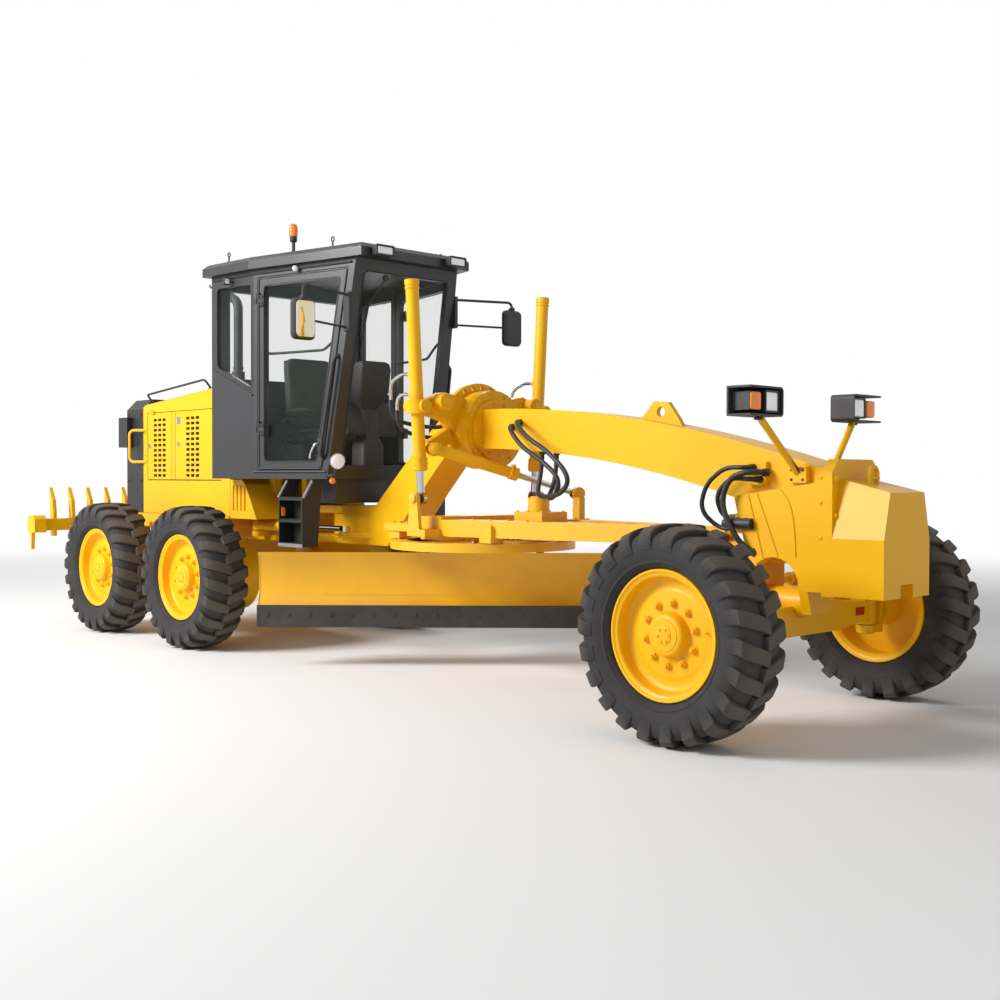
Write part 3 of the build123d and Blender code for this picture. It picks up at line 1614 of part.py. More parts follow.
# Hoses: (name, radius, routes); each route is a list of (station, y, z)
port_y = beam_half + port_reach + seat_gap
hose_table = [
    ("front_hoses", 14, [
        [
            (6540, -port_y, 1500), (6540, -262, 1500), (6400, -270, 1500), (6260, -270, 1400),
            (6210, -262, 1240), (6300, -190, 1130), (rear_port_x - seat_gap, -190, 1130)
        ],
        [
            (6590, -port_y, 1430), (6590, -268, 1430), (6440, -272, 1440), (6330, -268, 1330),
            (6330, -190, 1200), (rear_port_x - seat_gap, -190, 1200)
        ],
    ]),
]


def hose(points, radius):
    ends = [Vector(at(x), y, z) for x, y, z in points]
    runs = [(b - a).length for a, b in zip(ends, ends[1:])]
    radii = []
    for k in range(1, len(ends) - 1):
        turn = radians((ends[k] - ends[k - 1]).get_angle(ends[k + 1] - ends[k]))
        radii.append(0.45 * min(runs[k - 1], runs[k]) / tan(turn / 2))
    path = FilletPolyline(*ends, radius=radii)
    start = Plane(origin=ends[0], z_dir=(ends[1] - ends[0]).normalized())
    return sweep(start * Circle(radius), path=path), radii


for name, radius, routes in hose_table:
    bundle = Part()
    for points in routes:
        piece, radii = hose(points, radius)
        bundle += piece
        print(name, [round(r) for r in radii])
    save(name, bundle)
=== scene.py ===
import json
import math
import bmesh
import bpy
import numpy as np
from mathutils import Matrix


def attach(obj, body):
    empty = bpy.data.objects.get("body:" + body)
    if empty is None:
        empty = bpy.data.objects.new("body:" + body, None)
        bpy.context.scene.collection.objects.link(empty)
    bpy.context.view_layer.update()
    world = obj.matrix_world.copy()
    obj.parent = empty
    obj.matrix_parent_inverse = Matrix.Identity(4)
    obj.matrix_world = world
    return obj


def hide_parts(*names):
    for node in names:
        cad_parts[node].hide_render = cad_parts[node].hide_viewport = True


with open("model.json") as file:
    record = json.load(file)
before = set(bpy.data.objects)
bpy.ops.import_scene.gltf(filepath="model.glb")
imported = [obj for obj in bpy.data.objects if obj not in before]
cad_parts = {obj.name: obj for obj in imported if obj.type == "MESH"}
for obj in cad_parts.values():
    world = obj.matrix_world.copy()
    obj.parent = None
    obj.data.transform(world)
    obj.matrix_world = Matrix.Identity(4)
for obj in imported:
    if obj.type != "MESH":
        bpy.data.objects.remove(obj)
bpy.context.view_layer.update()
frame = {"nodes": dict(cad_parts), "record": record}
nodes = frame["nodes"]
print("frame loaded:", len(nodes), "nodes")

# The x of every shape is a station, measured from the rearmost hub; add and hose move it to the frame.
toFrame = np.array([-2.87, 0, 0])
hubZ = 0.597
wheelY = 1.078
flanks = (("left", 1), ("right", -1))


# Meshes from arrays
def faceOut(mesh):
    # Neighbouring faces are made to agree. A shell's volume is a third of the sum of each face's area times
    # its normal's reach from a corner of the shell, and a shell with a volume below zero is turned over.
    work = bmesh.new()
    work.from_mesh(mesh)
    bmesh.ops.recalc_face_normals(work, faces=work.faces)
    seen = set()
    for first in work.faces:
        if first in seen:
            continue
        seen.add(first)
        shell, waiting = [], [first]
        while waiting:
            face = waiting.pop()
            shell.append(face)
            near = {other for edge in face.edges for other in edge.link_faces} - seen
            seen |= near
            waiting.extend(near)
        foot = first.verts[0].co
        if sum(face.calc_area() * face.normal.dot(face.verts[0].co - foot) for face in shell) < 0:
            bmesh.ops.reverse_faces(work, faces=shell)
    work.to_mesh(mesh)
    work.free()


def asMesh(name, shape, smoothAngle=38):
    # shape is (points, faces, shade): rows of x, y, z, lists of corner numbers and a 0-1 number per point.
    mesh = bpy.data.meshes.new(name)
    mesh.from_pydata(shape[0].tolist(), [], shape[1])
    mesh.validate()
    faceOut(mesh)
    if len(shape) > 2:
        shade = mesh.attributes.new("shade", "FLOAT", "POINT")
        shade.data.foreach_set("value", np.asarray(shape[2], np.float32))
    if smoothAngle:
        mesh.polygons.foreach_set("use_smooth", np.ones(len(mesh.polygons), bool))
        mesh.set_sharp_from_angle(angle=math.radians(smoothAngle))
    return mesh


def add(name, shape, body, finish, bevel=0, smoothAngle=38, standsFor=()):
    # A piece that rides a body: its shape moved from stations to the frame, with its finish and an optional bevel.
    piece = bpy.data.objects.new(name, asMesh(name, moved(shape, toFrame), smoothAngle))
    bpy.context.scene.collection.objects.link(piece)
    piece.data.materials.append(finish)
    if bevel:
        edge = piece.modifiers.new("edge", "BEVEL")
        edge.width = bevel
        edge.segments = 2
        edge.limit_method = "ANGLE"
        edge.angle_limit = math.radians(40)
        edge.harden_normals = True
    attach(piece, body)
    if standsFor:
        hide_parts(*standsFor)
    return piece


def moved(shape, offset):
    # The same shape with its points moved by offset.
    return shape[0] + offset, shape[1], shape[2]


def mirrored(shape):
    # The other side's shape: y becomes -y, and each face is turned over.
    return shape[0] * (1, -1, 1), [face[::-1] for face in shape[1]], shape[2]


def forSide(side, shape):
    # Shapes are drawn on the right; side 1 is the left.
    return mirrored(shape) if side > 0 else shape


def joined(*shapes):
    # Several shapes as one: the points follow each other and the face numbers are shifted.
    faces, start = [], 0
    for shape in shapes:
        faces += [[i + start for i in face] for face in shape[1]]
        start += len(shape[0])
    return np.concatenate([shape[0] for shape in shapes]), faces, np.concatenate([shape[2] for shape in shapes])


def onBothSides(shape):
    # A shape drawn on the right, with its mirror image on the left.
    return joined(shape, mirrored(shape))


def gridFaces(rows, columns, closeRows=False, closeColumns=False, flip=False):
    # Quads over a grid of points stored row by row.
    r = np.arange(rows if closeRows else rows - 1)
    c = np.arange(columns if closeColumns else columns - 1)
    r, c = np.meshgrid(r, c, indexing="ij")
    r1, c1 = (r + 1) % rows, (c + 1) % columns
    quads = np.stack([r * columns + c, r1 * columns + c, r1 * columns + c1, r * columns + c1], -1).reshape(-1, 4)
    return (quads[:, ::-1] if flip else quads).tolist()


def endFaces(rows, sides):
    # The caps of a stack of loops: the first one turned over, and the last.
    return [list(range(sides))[::-1], [(rows - 1) * sides + k for k in range(sides)]]


def aroundTurn(count):
    # Angles all round, 2 pi k / count.
    return np.linspace(0, 2 * np.pi, count, endpoint=False)


def circleOf(centre, plane, radius, angles):
    # Points round a centre: radius * cos a along the plane's first axis and radius * sin a along its second.
    points = np.tile(np.asarray(centre, float), (len(angles), 1))
    for axis, share in zip(plane, (np.cos(angles), np.sin(angles))):
        points[:, "xyz".index(axis)] += radius * share
    return points


def revolved(profile, segments, centre, axis, side=1, shade=None):
    # A closed outline of (radius, along) turned about an axis:
    # point(a, t) = centre + radius(t) * (cos a, sin a) + along(t).
    profile = np.asarray(profile, float)
    angle = aroundTurn(segments)[:, None]
    radius, along = profile[:, 0][None], (profile[:, 1] * side)[None]
    first, second, third = radius * np.cos(angle), radius * np.sin(angle), along + 0 * angle
    order = {"x": (third, first, second), "y": (second, third, first), "z": (first, second, third)}[axis]
    points = np.stack(order, -1).reshape(-1, 3) + np.asarray(centre, float)
    values = np.zeros(len(points)) if shade is None else np.tile(shade, segments)
    return points, gridFaces(segments, len(profile), True, True, flip=side < 0), values


def swept(path, radius, sides, flat=1.0, closed=False):
    # A round tube: point(i, a) = path(i) + radius(i) * (cos a * normal + flat * sin a * binormal).
    path = np.asarray(path, float)
    radius = np.broadcast_to(np.asarray(radius, float), len(path))
    tangent = np.roll(path, -1, 0) - np.roll(path, 1, 0) if closed else np.gradient(path, axis=0)
    tangent /= np.linalg.norm(tangent, axis=1)[:, None]
    normal = np.zeros_like(path)
    seed = np.array([0, 0, 1.0]) if abs(tangent[0][2]) < 0.9 else np.array([1.0, 0, 0])
    for i, t in enumerate(tangent):  # each frame is the last one, squared to the new direction
        seed = seed - t * seed.dot(t)
        seed /= np.linalg.norm(seed)
        normal[i] = seed
    angle = aroundTurn(sides)[None, :, None]
    around = np.cos(angle) * normal[:, None] + flat * np.sin(angle) * np.cross(tangent, normal)[:, None]
    points = (path[:, None] + radius[:, None, None] * around).reshape(-1, 3)
    faces = gridFaces(len(path), sides, closed, True, flip=True)
    return points, faces if closed else faces + endFaces(len(path), sides), np.zeros(len(points))


def smoothPath(corners, count):
    # A quadratic B-spline through a list of control points, from the first to the last.
    corners = np.asarray(corners, float)
    padded = np.concatenate([2 * corners[:1] - corners[1:2], corners, 2 * corners[-1:] - corners[-2:-1]])
    t = np.linspace(0, len(corners) - 1, count) + 0.5
    k = np.clip(t.astype(int), 0, len(padded) - 3)
    u = (t - k)[:, None]
    a, b, c = padded[k], padded[k + 1], padded[k + 2]
    return 0.5 * (1 - u) ** 2 * a + (0.5 + u - u ** 2) * b + 0.5 * u ** 2 * c


def rounded(corners, radius, steps=6, closed=False):
    # Straight runs joined by curves: from a to b round corner c, (1 - t)^2 a + 2 t (1 - t) c + t^2 b.
    corners = np.asarray(corners, float)
    t = np.linspace(0, 1, steps + 1)[:, None]
    path = []
    for k, corner in enumerate(corners):
        if not closed and k in (0, len(corners) - 1):
            path.append(corner[None])
            continue
        before, after = corners[k - 1] - corner, corners[(k + 1) % len(corners)] - corner
        a = corner + before / np.linalg.norm(before) * radius
        b = corner + after / np.linalg.norm(after) * radius
        path.append((1 - t) ** 2 * a + 2 * t * (1 - t) * corner + t ** 2 * b)
    return np.concatenate(path)


def lofted(loops, flip=False):
    # A skin over loops of equally many points, counter-clockwise about their way, with both ends closed.
    rows, n = len(loops), len(loops[0])
    faces = gridFaces(rows, n, False, True, flip=True) + endFaces(rows, n)
    return np.concatenate(loops), [face[::-1] for face in faces] if flip else faces, np.zeros(rows * n)


unitCorners = np.array([[x, y, z] for x in (-0.5, 0.5) for y in (-0.5, 0.5) for z in (-0.5, 0.5)])
unitFaces = np.array([[0, 1, 3, 2], [4, 6, 7, 5], [0, 4, 5, 1], [2, 3, 7, 6], [0, 2, 6, 4], [1, 5, 7, 3]])


def boxes(corners):
    # Boxes from eight corners each, in the order of unitCorners.
    points = corners.reshape(-1, 3)
    faces = (unitFaces[None] + 8 * np.arange(len(corners))[:, None, None]).reshape(-1, 4)
    return points, faces.tolist(), np.zeros(len(points))


def bricks(centres, sizes):
    # Many boxes at once: corner = centre + unit corner * size.
    centres, sizes = np.atleast_2d(centres).astype(float), np.atleast_2d(sizes).astype(float)
    return boxes(centres[:, None] + unitCorners[None] * sizes[:, None])


def brick(x0, x1, y0, y1, z0, z1):
    # One box by its limits: its centre is their mean and its size their difference.
    return bricks([[(x0 + x1) / 2, (y0 + y1) / 2, (z0 + z1) / 2]], [[abs(x1 - x0), abs(y1 - y0), abs(z1 - z0)]])


def basis(direction):
    # Three unit vectors square to each other; the last is the direction, the first lies square to z where it can.
    d = np.asarray(direction, float)
    d = d / np.linalg.norm(d)
    a = np.cross(d, [0, 0, 1.0]) if abs(d[2]) < 0.9 else np.cross(d, [1.0, 0, 0])
    a /= np.linalg.norm(a)
    return a, np.cross(d, a), d


def ringAbout(direction, count):
    # A unit circle square to a direction, cos t * a + sin t * b, and the unit direction itself.
    a, b, d = basis(direction)
    turn = aroundTurn(count)[:, None]
    return np.cos(turn) * a + np.sin(turn) * b, d


def heads(places, direction, radius, height, sides=6, crown=0.86):
    # Bolt heads: a ring at the seat, one at the shoulder and a smaller one on top, repeated at every place.
    ring, d = ringAbout(direction, sides)
    rings = [radius * ring - 0.3 * height * d, radius * ring + 0.8 * height * d, crown * radius * ring + height * d]
    places = np.atleast_2d(places).astype(float)
    points = (places[:, None] + np.concatenate(rings)[None]).reshape(-1, 3)
    one = gridFaces(3, sides, False, True) + endFaces(3, sides)
    faces = [[i + 3 * sides * k for i in face] for k in range(len(places)) for face in one]
    return points, faces, np.zeros(len(points))


def rodShape(start, end, radius, sides=24, edge=0.002):
    # A round bar with a small chamfer at both ends.
    start, end = np.asarray(start, float), np.asarray(end, float)
    ring, d = ringAbout(end - start, sides)
    length = np.linalg.norm(end - start)
    steps = [(0, radius - edge), (edge, radius), (length - edge, radius), (length, radius - edge)]
    points = np.concatenate([start + along * d + r * ring for along, r in steps])
    return points, gridFaces(4, sides, False, True) + endFaces(4, sides), np.zeros(len(points))


# Finishes
def linear(r, g, b):
    # Screen colour 0-255 to linear light: ((c / 255 + 0.055) / 1.055) ^ 2.4, or c / 3294 when very dark.
    return [((c / 255 + 0.055) / 1.055) ** 2.4 if c > 10 else c / 3294 for c in (r, g, b)] + [1]


def linked(tree, socket, value):
    # Another node's output is linked to the socket; anything else becomes its value.
    if hasattr(value, "is_linked"):
        tree.links.new(value, socket)
    else:
        socket.default_value = value


def nodeOf(tree, kind, **sockets):
    # A new node, its sockets set or linked by name, with an underscore for a space.
    made = tree.nodes.new(kind)
    for key, value in sockets.items():
        linked(tree, made.inputs[key.replace("_", " ")], value)
    return made


def mixed(tree, share, low, high):
    # A colour between low and high by share.
    made = tree.nodes.new("ShaderNodeMix")
    made.data_type = "RGBA"
    for number, value in ((0, share), (6, low), (7, high)):
        linked(tree, made.inputs[number], value)
    return made.outputs[2]


def maths(tree, operation, first, second):
    # The result of one maths node on two values.
    made = tree.nodes.new("ShaderNodeMath")
    made.operation = operation
    linked(tree, made.inputs[0], first)
    linked(tree, made.inputs[1], second)
    return made.outputs[0]


def blank(name):
    # A new material with its node tree, shader and object coordinates.
    material = bpy.data.materials.new(name)
    material.use_nodes = True
    tree = material.node_tree
    return material, tree, tree.nodes["Principled BSDF"], tree.nodes.new("ShaderNodeTexCoord").outputs["Object"]


def finish(name, colour, second, rough, patch, grain, metal=0.0, coat=0.0, dust=None, dustTop=0.0, shadeColour=None,
        specular=0.5, roughVary=0.12):
    # Base colour broken up by broad noise (patch: scale, share), the shade attribute's colour,
    # dust on faces that look up, and a fine bump (grain: scale, strength).
    material, tree, shader, place = blank(name)

    def ramp(value, low, high, top=1.0):
        return nodeOf(tree, "ShaderNodeMapRange", Value=value, From_Min=low, From_Max=high,
            To_Max=top).outputs["Result"]

    def noise(scale, detail, roughness):
        return nodeOf(tree, "ShaderNodeTexNoise", Vector=place, Scale=scale, Detail=detail,
            Roughness=roughness).outputs["Fac"]

    broad = noise(patch[0], 5.0, 0.6)
    tint = mixed(tree, ramp(broad, 0.35, 0.7, patch[1]), linear(*colour), linear(*second))
    if shadeColour:
        worn = tree.nodes.new("ShaderNodeAttribute")
        worn.attribute_name = "shade"
        tint = mixed(tree, worn.outputs["Fac"], tint, linear(*shadeColour))
    if dust:
        facing = tree.nodes.new("ShaderNodeNewGeometry").outputs["Normal"]
        up = nodeOf(tree, "ShaderNodeSeparateXYZ", Vector=facing).outputs["Z"]
        lying = maths(tree, "MULTIPLY", ramp(up, 0.25, 1.0, dustTop), ramp(noise(2.6, 8.0, 0.66), 0.3, 0.62))
        tint = mixed(tree, lying, tint, linear(*dust))
    tree.links.new(tint, shader.inputs["Base Color"])
    bump = nodeOf(tree, "ShaderNodeBump", Height=noise(grain[0], 4.0, 0.55), Strength=grain[1] * 10, Distance=0.004)
    tree.links.new(bump.outputs["Normal"], shader.inputs["Normal"])
    uneven = nodeOf(tree, "ShaderNodeMapRange", Value=broad, To_Min=rough - roughVary / 2,
        To_Max=rough + roughVary / 2)
    tree.links.new(uneven.outputs["Result"], shader.inputs["Roughness"])
    shader.inputs["Metallic"].default_value = metal
    shader.inputs["Coat Weight"].default_value = coat
    shader.inputs["Coat Roughness"].default_value = 0.12
    shader.inputs["Specular IOR Level"].default_value = specular
    return material


def clear(name, colour, alpha, rough=0.03, paintedGlow=None):
    # Thin glass: mostly see-through, with a gloss from the shader and a colour that varies a little; a given glow
    # colour adds a faint emission, a painted glow that brightens the lens from within.
    material, tree, shader, place = blank(name)
    noise = nodeOf(tree, "ShaderNodeTexNoise", Vector=place, Scale=3.0)
    colour = linear(*colour)
    tint = mixed(tree, noise.outputs["Fac"], colour, [c * 0.85 for c in colour[:3]] + [1])
    tree.links.new(tint, shader.inputs["Base Color"])
    shader.inputs["Roughness"].default_value = rough
    shader.inputs["Alpha"].default_value = alpha
    shader.inputs["IOR"].default_value = 1.5
    # Painted light: a faint emission that makes the lens glow.
    if paintedGlow:
        shader.inputs["Emission Color"].default_value = linear(*paintedGlow)
        shader.inputs["Emission Strength"].default_value = 0.15
    return material


machineYellow = finish("machineYellow", (240, 182, 10), (232, 168, 8), 0.42, (1.3, 0.6), (140.0, 0.006), coat=0.06,
    dust=(214, 170, 60), dustTop=0.15, specular=0.25)
dustyYellow = finish("dustyYellow", (238, 180, 18), (222, 162, 22), 0.46, (1.8, 0.6), (90.0, 0.012), coat=0.1,
    dust=(206, 176, 104), dustTop=0.4)
bladeYellow = finish("bladeYellow", (236, 178, 20), (206, 148, 24), 0.42, (1.1, 0.6), (40.0, 0.02), coat=0.1,
    dust=(190, 150, 70), dustTop=0.4)
cabCharcoal = finish("cabCharcoal", (38, 39, 41), (27, 28, 30), 0.42, (1.6, 0.6), (160.0, 0.006), coat=0.12,
    dust=(98, 96, 92), dustTop=0.25)
frameBlack = finish("frameBlack", (34, 34, 35), (24, 24, 25), 0.5, (3.0, 0.6), (120.0, 0.01), dust=(92, 86, 76),
    dustTop=0.35)
tyreRubber = finish("tyreRubber", (58, 57, 58), (48, 46, 46), 0.82, (5.0, 0.8), (70.0, 0.05),
    shadeColour=(92, 84, 76), specular=0.25)
wornSteel = finish("wornSteel", (46, 44, 43), (84, 76, 68), 0.5, (3.2, 0.5), (50.0, 0.03), metal=0.35,
    dust=(110, 98, 84), dustTop=0.3)
chromeBar = finish("chromeBar", (196, 198, 202), (170, 172, 176), 0.14, (8.0, 0.4), (200.0, 0.002), metal=1.0,
    roughVary=0.05)
engineIron = finish("engineIron", (70, 72, 74), (50, 48, 46), 0.6, (5.0, 0.7), (60.0, 0.04), metal=0.3)
seatVinyl = finish("seatVinyl", (52, 53, 44), (42, 43, 36), 0.62, (9.0, 0.6), (240.0, 0.03))
mouldedPlastic = finish("mouldedPlastic", (38, 38, 39), (30, 30, 31), 0.55, (8.0, 0.5), (300.0, 0.02))
lampGrey = finish("lampGrey", (132, 134, 137), (112, 114, 118), 0.4, (6.0, 0.5), (180.0, 0.01))
hoseRubber = finish("hoseRubber", (28, 28, 29), (20, 20, 21), 0.5, (20.0, 0.5), (260.0, 0.02))
cabGlass = clear("cabGlass", (90, 102, 98), 0.07)
# amberLens carries a faint painted glow in its emission.
amberLens = clear("amberLens", (240, 130, 20), 0.92, 0.15, (255, 150, 30))
clearLens = clear("clearLens", (226, 230, 232), 0.55, 0.06)
redLens = clear("redLens", (190, 30, 24), 0.95, 0.2)
# brightLens carries a faint painted glow in its emission.
brightLens = clear("brightLens", (238, 240, 242), 0.9, 0.08, (255, 255, 255))
mirrorGlass = finish("mirrorGlass", (214, 204, 176), (200, 190, 160), 0.07, (3.0, 0.4), (8.0, 0.001), metal=1.0,
    roughVary=0.03)

cadFinish = {"yellow_paint": machineYellow, "black_paint": frameBlack, "cab_grey": cabCharcoal,
    "tyre_rubber": tyreRubber, "blade_steel": wornSteel, "chrome_rod": chromeBar, "tinted_glass": cabGlass,
    "engine_iron": engineIron, "seat_vinyl": seatVinyl, "console_plastic": mouldedPlastic,
    "lamp_plastic": amberLens, "lamp_shell": lampGrey, "hose_rubber": hoseRubber}
ownFinish = {"head_lamps": mouldedPlastic, "mouldboard": bladeYellow, "drawbar": dustyYellow, "circle": dustyYellow,
    "blade_carrier": dustyYellow}
for part in frame["record"]["subparts"]:
    surfaces = nodes[part["node"]].data.materials
    surfaces.clear()
    surfaces.append(ownFinish.get(part["node"], cadFinish[part["material_slot"]]))
print("finishes on the CAD nodes done")

# Wheels
tyre = {"lugs": 22, "segments": 132, "skew": 0.5, "foot": 0.29, "tip": 0.235}
carcass = np.array([(0.3195, 0.0), (0.3195, 0.1), (0.32, 0.1215), (0.358, 0.1215), (0.3625, 0.124), (0.366, 0.134),
    (0.374, 0.146), (0.386, 0.156), (0.392, 0.1645), (0.398, 0.166), (0.404, 0.164), (0.425, 0.1735),
    (0.45, 0.1805), (0.472, 0.184), (0.5, 0.183), (0.518, 0.177), (0.534, 0.168), (0.548, 0.15), (0.557, 0.126),
    (0.561, 0.09), (0.563, 0.05), (0.563, 0.0)])
lugRoot = np.array([(0.452, 0.168), (0.48, 0.172), (0.508, 0.168), (0.528, 0.156), (0.543, 0.132), (0.55, 0.1),
    (0.552, 0.06), (0.552, 0.02), (0.552, -0.018)])
lugTop = np.array([(0.462, 0.1865), (0.49, 0.1925), (0.522, 0.1945), (0.556, 0.189), (0.579, 0.165), (0.59, 0.125),
    (0.5955, 0.07), (0.597, 0.025), (0.5965, -0.014)])


def tyreShape(centre, side):
    # Carcass: the section turned about the axle. Lugs: a closed strip from sidewall to tread centre,
    # point(run, across) = radius * (cos t, sin t) with t = start + skew * pitch * (1 - run) + half(run) * across.
    centre = np.asarray(centre, float)
    section = np.concatenate([carcass, (carcass * [1, -1])[-2:0:-1]])
    dusty = np.clip((section[:, 0] - 0.53) / 0.05, 0, 1) * 0.75
    parts = [revolved(section, tyre["segments"], centre, "y", -1, dusty)]
    pitch = 2 * np.pi / tyre["lugs"]
    run = np.linspace(0, 1, len(lugTop))
    middle = tyre["skew"] * pitch * (1 - np.clip((run - 0.25) / 0.75, 0, 1) ** 1.15)
    half = pitch * (tyre["foot"] + (tyre["tip"] - tyre["foot"]) * run)
    across = np.array([-1.08, -0.99, -0.84, 0.84, 0.99, 1.08])
    lift = np.array([0.0, 0.86, 1.0, 1.0, 0.86, 0.0])
    for flank in (1, -1):
        start = pitch * (np.arange(tyre["lugs"]) + (0.5 if flank != side else 0.0)) - np.pi / 2
        angle = start[:, None, None] + (middle[:, None] + half[:, None] * across)[None]
        radius, along = (lugRoot[:, k, None] + (lugTop - lugRoot)[:, k, None] * lift for k in (0, 1))
        along = np.broadcast_to(flank * along, angle.shape)
        points = np.stack([radius * np.cos(angle), along, radius * np.sin(angle)], -1) + centre
        n, rows, columns = angle.shape
        strip = gridFaces(rows, columns, False, True, flip=flank > 0) + [face[::flank]
            for face in endFaces(rows, columns)]
        faces = [[i + rows * columns * k for i in face] for k in range(n) for face in strip]
        worn = np.tile(np.outer(np.clip(run * 2.2 - 0.3, 0, 1), lift ** 3).ravel(), n)
        parts.append((points.reshape(-1, 3), faces, worn))
    return joined(*parts)


rim = {"segments": 96, "studs": 10, "studCircle": 0.17, "studSeat": 0.0535, "nut": (0.021, 0.02),
    "pad": (0.027, 0.005), "tip": (0.0115, 0.013), "tipLift": 0.02, "hubBolts": 6, "hubRing": 0.036,
    "hubFace": 0.1195}
rimFace = np.array([(0.318, 0.1215), (0.3568, 0.1215), (0.3568, 0.13), (0.3545, 0.1352), (0.349, 0.136),
    (0.343, 0.134), (0.338, 0.1275), (0.33, 0.1235), (0.321, 0.1215), (0.315, 0.116), (0.312, 0.1), (0.311, 0.08),
    (0.304, 0.06), (0.294, 0.052), (0.276, 0.0475), (0.25, 0.0465), (0.242, 0.05), (0.225, 0.053), (0.138, 0.054),
    (0.129, 0.056), (0.125, 0.064), (0.1215, 0.086), (0.116, 0.1), (0.11, 0.1075), (0.1, 0.112), (0.088, 0.114),
    (0.086, 0.117), (0.07, 0.1195), (0.0005, 0.12)])


def rimShape(centre, side, reach):
    # The seen face runs from the bead seat over the flange and down into the dish; the back closes behind it.
    def outward(along):
        return np.asarray(centre, float) + [0, side * along, 0]

    back = [(0.0005, 0.07), (0.0515, 0.07), (0.0515, -reach), (0.09, -reach), (0.12, 0.014), (0.298, 0.036),
        (0.303, 0.03), (0.303, -0.11), (0.318, -0.128), (0.335, -0.1355), (0.353, -0.1355), (0.3568, -0.13),
        (0.3568, -0.1215), (0.318, -0.1215)]
    ring = revolved(np.concatenate([rimFace, back]), rim["segments"], centre, "y", side)
    spots = circleOf(outward(rim["studSeat"]), "zx", rim["studCircle"], aroundTurn(rim["studs"]) + 0.1)
    hubSpots = circleOf(outward(rim["hubFace"] + 0.003), "zx", rim["hubRing"], aroundTurn(rim["hubBolts"]) + 0.4)
    out = (0, side, 0)
    tips = heads(spots + [0, side * rim["tipLift"], 0], out, *rim["tip"], 12, 0.8)
    cap = heads(outward(rim["hubFace"]), out, 0.052, 0.0035, 32, 0.97)
    valve = outward(0) + np.array([[0.235, 0.05, 0.03], [0.245, 0.075, 0.03], [0.262, 0.098, 0.03]]) * [1, side, 1]
    return joined(ring, heads(spots, out, *rim["nut"]), heads(spots, out, *rim["pad"], 20, 0.96), tips, cap,
        heads(hubSpots, out, 0.0085, 0.006), swept(smoothPath(valve, 8), 0.006, 8))


for place, station, reach in (("rear", 0.0, 0.212), ("middle", 1.54, 0.212), ("front", 6.69, 0.108)):
    for flank, side in flanks:
        centre = (station, side * wheelY, hubZ)
        tag = place + "_" + flank
        add("tyreTread_" + tag, tyreShape(centre, side), "wheel_" + tag, tyreRubber, smoothAngle=32,
            standsFor=["tyre_" + tag])
        add("rimDish_" + tag, rimShape(centre, side, reach), "wheel_" + tag, machineYellow,
            smoothAngle=30, standsFor=["rim_" + tag])
print("wheels done")

# Cab
cab = {"rear": 1.37, "post": 1.97, "rearHalf": 0.8, "postHalf": 0.76, "rearTaper": 15, "frontTaper": 0.215,
    "front": 2.77, "floor": 1.42, "height": 1.73, "lean": 0.298}
seal = {"radius": 0.0075, "corner": 0.05, "flat": 0.55, "proud": 0.001}


def cabHalf(station):
    # Half width of the cab: straight from the rear corner to the door post, then tapering to the front.
    station = np.asarray(station, float)
    return np.where(station < cab["post"], cab["rearHalf"] - (station - cab["rear"]) / cab["rearTaper"],
        cab["postHalf"] - cab["frontTaper"] * (station - cab["post"]))


def cabFront(z):
    # Station of the leaning front: its foot plus the lean times the share of the height.
    return cab["front"] + (np.asarray(z, float) - cab["floor"]) / cab["height"] * cab["lean"]


def onCabSide(points, out=0.0):
    # Station and height pairs laid on the right side of the cab: (x, -(half width at x + out), z).
    points = np.asarray(points, float)
    return np.stack([points[:, 0], -(cabHalf(points[:, 0]) + out), points[:, 1]], -1)


def onScreen(y, z, out):
    # A point of the front screen, moved forward by out.
    return float(cabFront(z)) + out, y, z


def sideWindow(back, gap, low, high, spread=0.0):
    # Corners of the door's window or edge, whose front line leans with the cab's front.
    low, high = low - spread, high + spread
    front = [(cabFront(z) - gap + spread, z) for z in (low, high)]
    return [(back - spread, low), *front, (back - spread, high)]


def gasket(loop):
    # A flattened tube along a closed loop with rounded corners.
    return swept(rounded(loop, seal["corner"], 6, True), seal["radius"], 8, closed=True, flat=seal["flat"])


doorLoop = sideWindow(2.09, 0.137, 1.565, 3.01, 0.004)
quarterLoop = [(1.446, 2.372), (1.944, 2.166), (1.944, 3.049), (1.446, 3.049)]
for tag, side in flanks:
    for name, loop, body in (("doorSeal_", doorLoop, "door_" + tag), ("quarterSeal_", quarterLoop, "rear")):
        add(name + tag, forSide(side, gasket(onCabSide(loop, seal["proud"]))), body, mouldedPlastic)
frontCorners = ((-0.457, 1.528), (0.457, 1.528), (0.432, 3.057), (-0.432, 3.057))
rearCorners = ((0.652, 2.288), (-0.652, 2.288), (-0.652, 3.047), (0.652, 3.047))
add("frontSeal", gasket([onScreen(y, z, seal["proud"]) for y, z in frontCorners]), "rear", mouldedPlastic)
add("rearSeal", gasket([(cab["rear"] - seal["proud"], y, z) for y, z in rearCorners]), "rear", mouldedPlastic)

door = {"edge": (2.034, 0.075, 1.502, 3.073), "hingeX": (2.03, 2.125), "hingeY": (-0.762, -0.728),
    "hinges": (1.83, 2.89), "hingeHalf": 0.045, "boltX": (2.055, 2.1), "boltZ": 0.026, "lockX": (2.665, 2.735),
    "lockZ": (1.63, 1.75)}


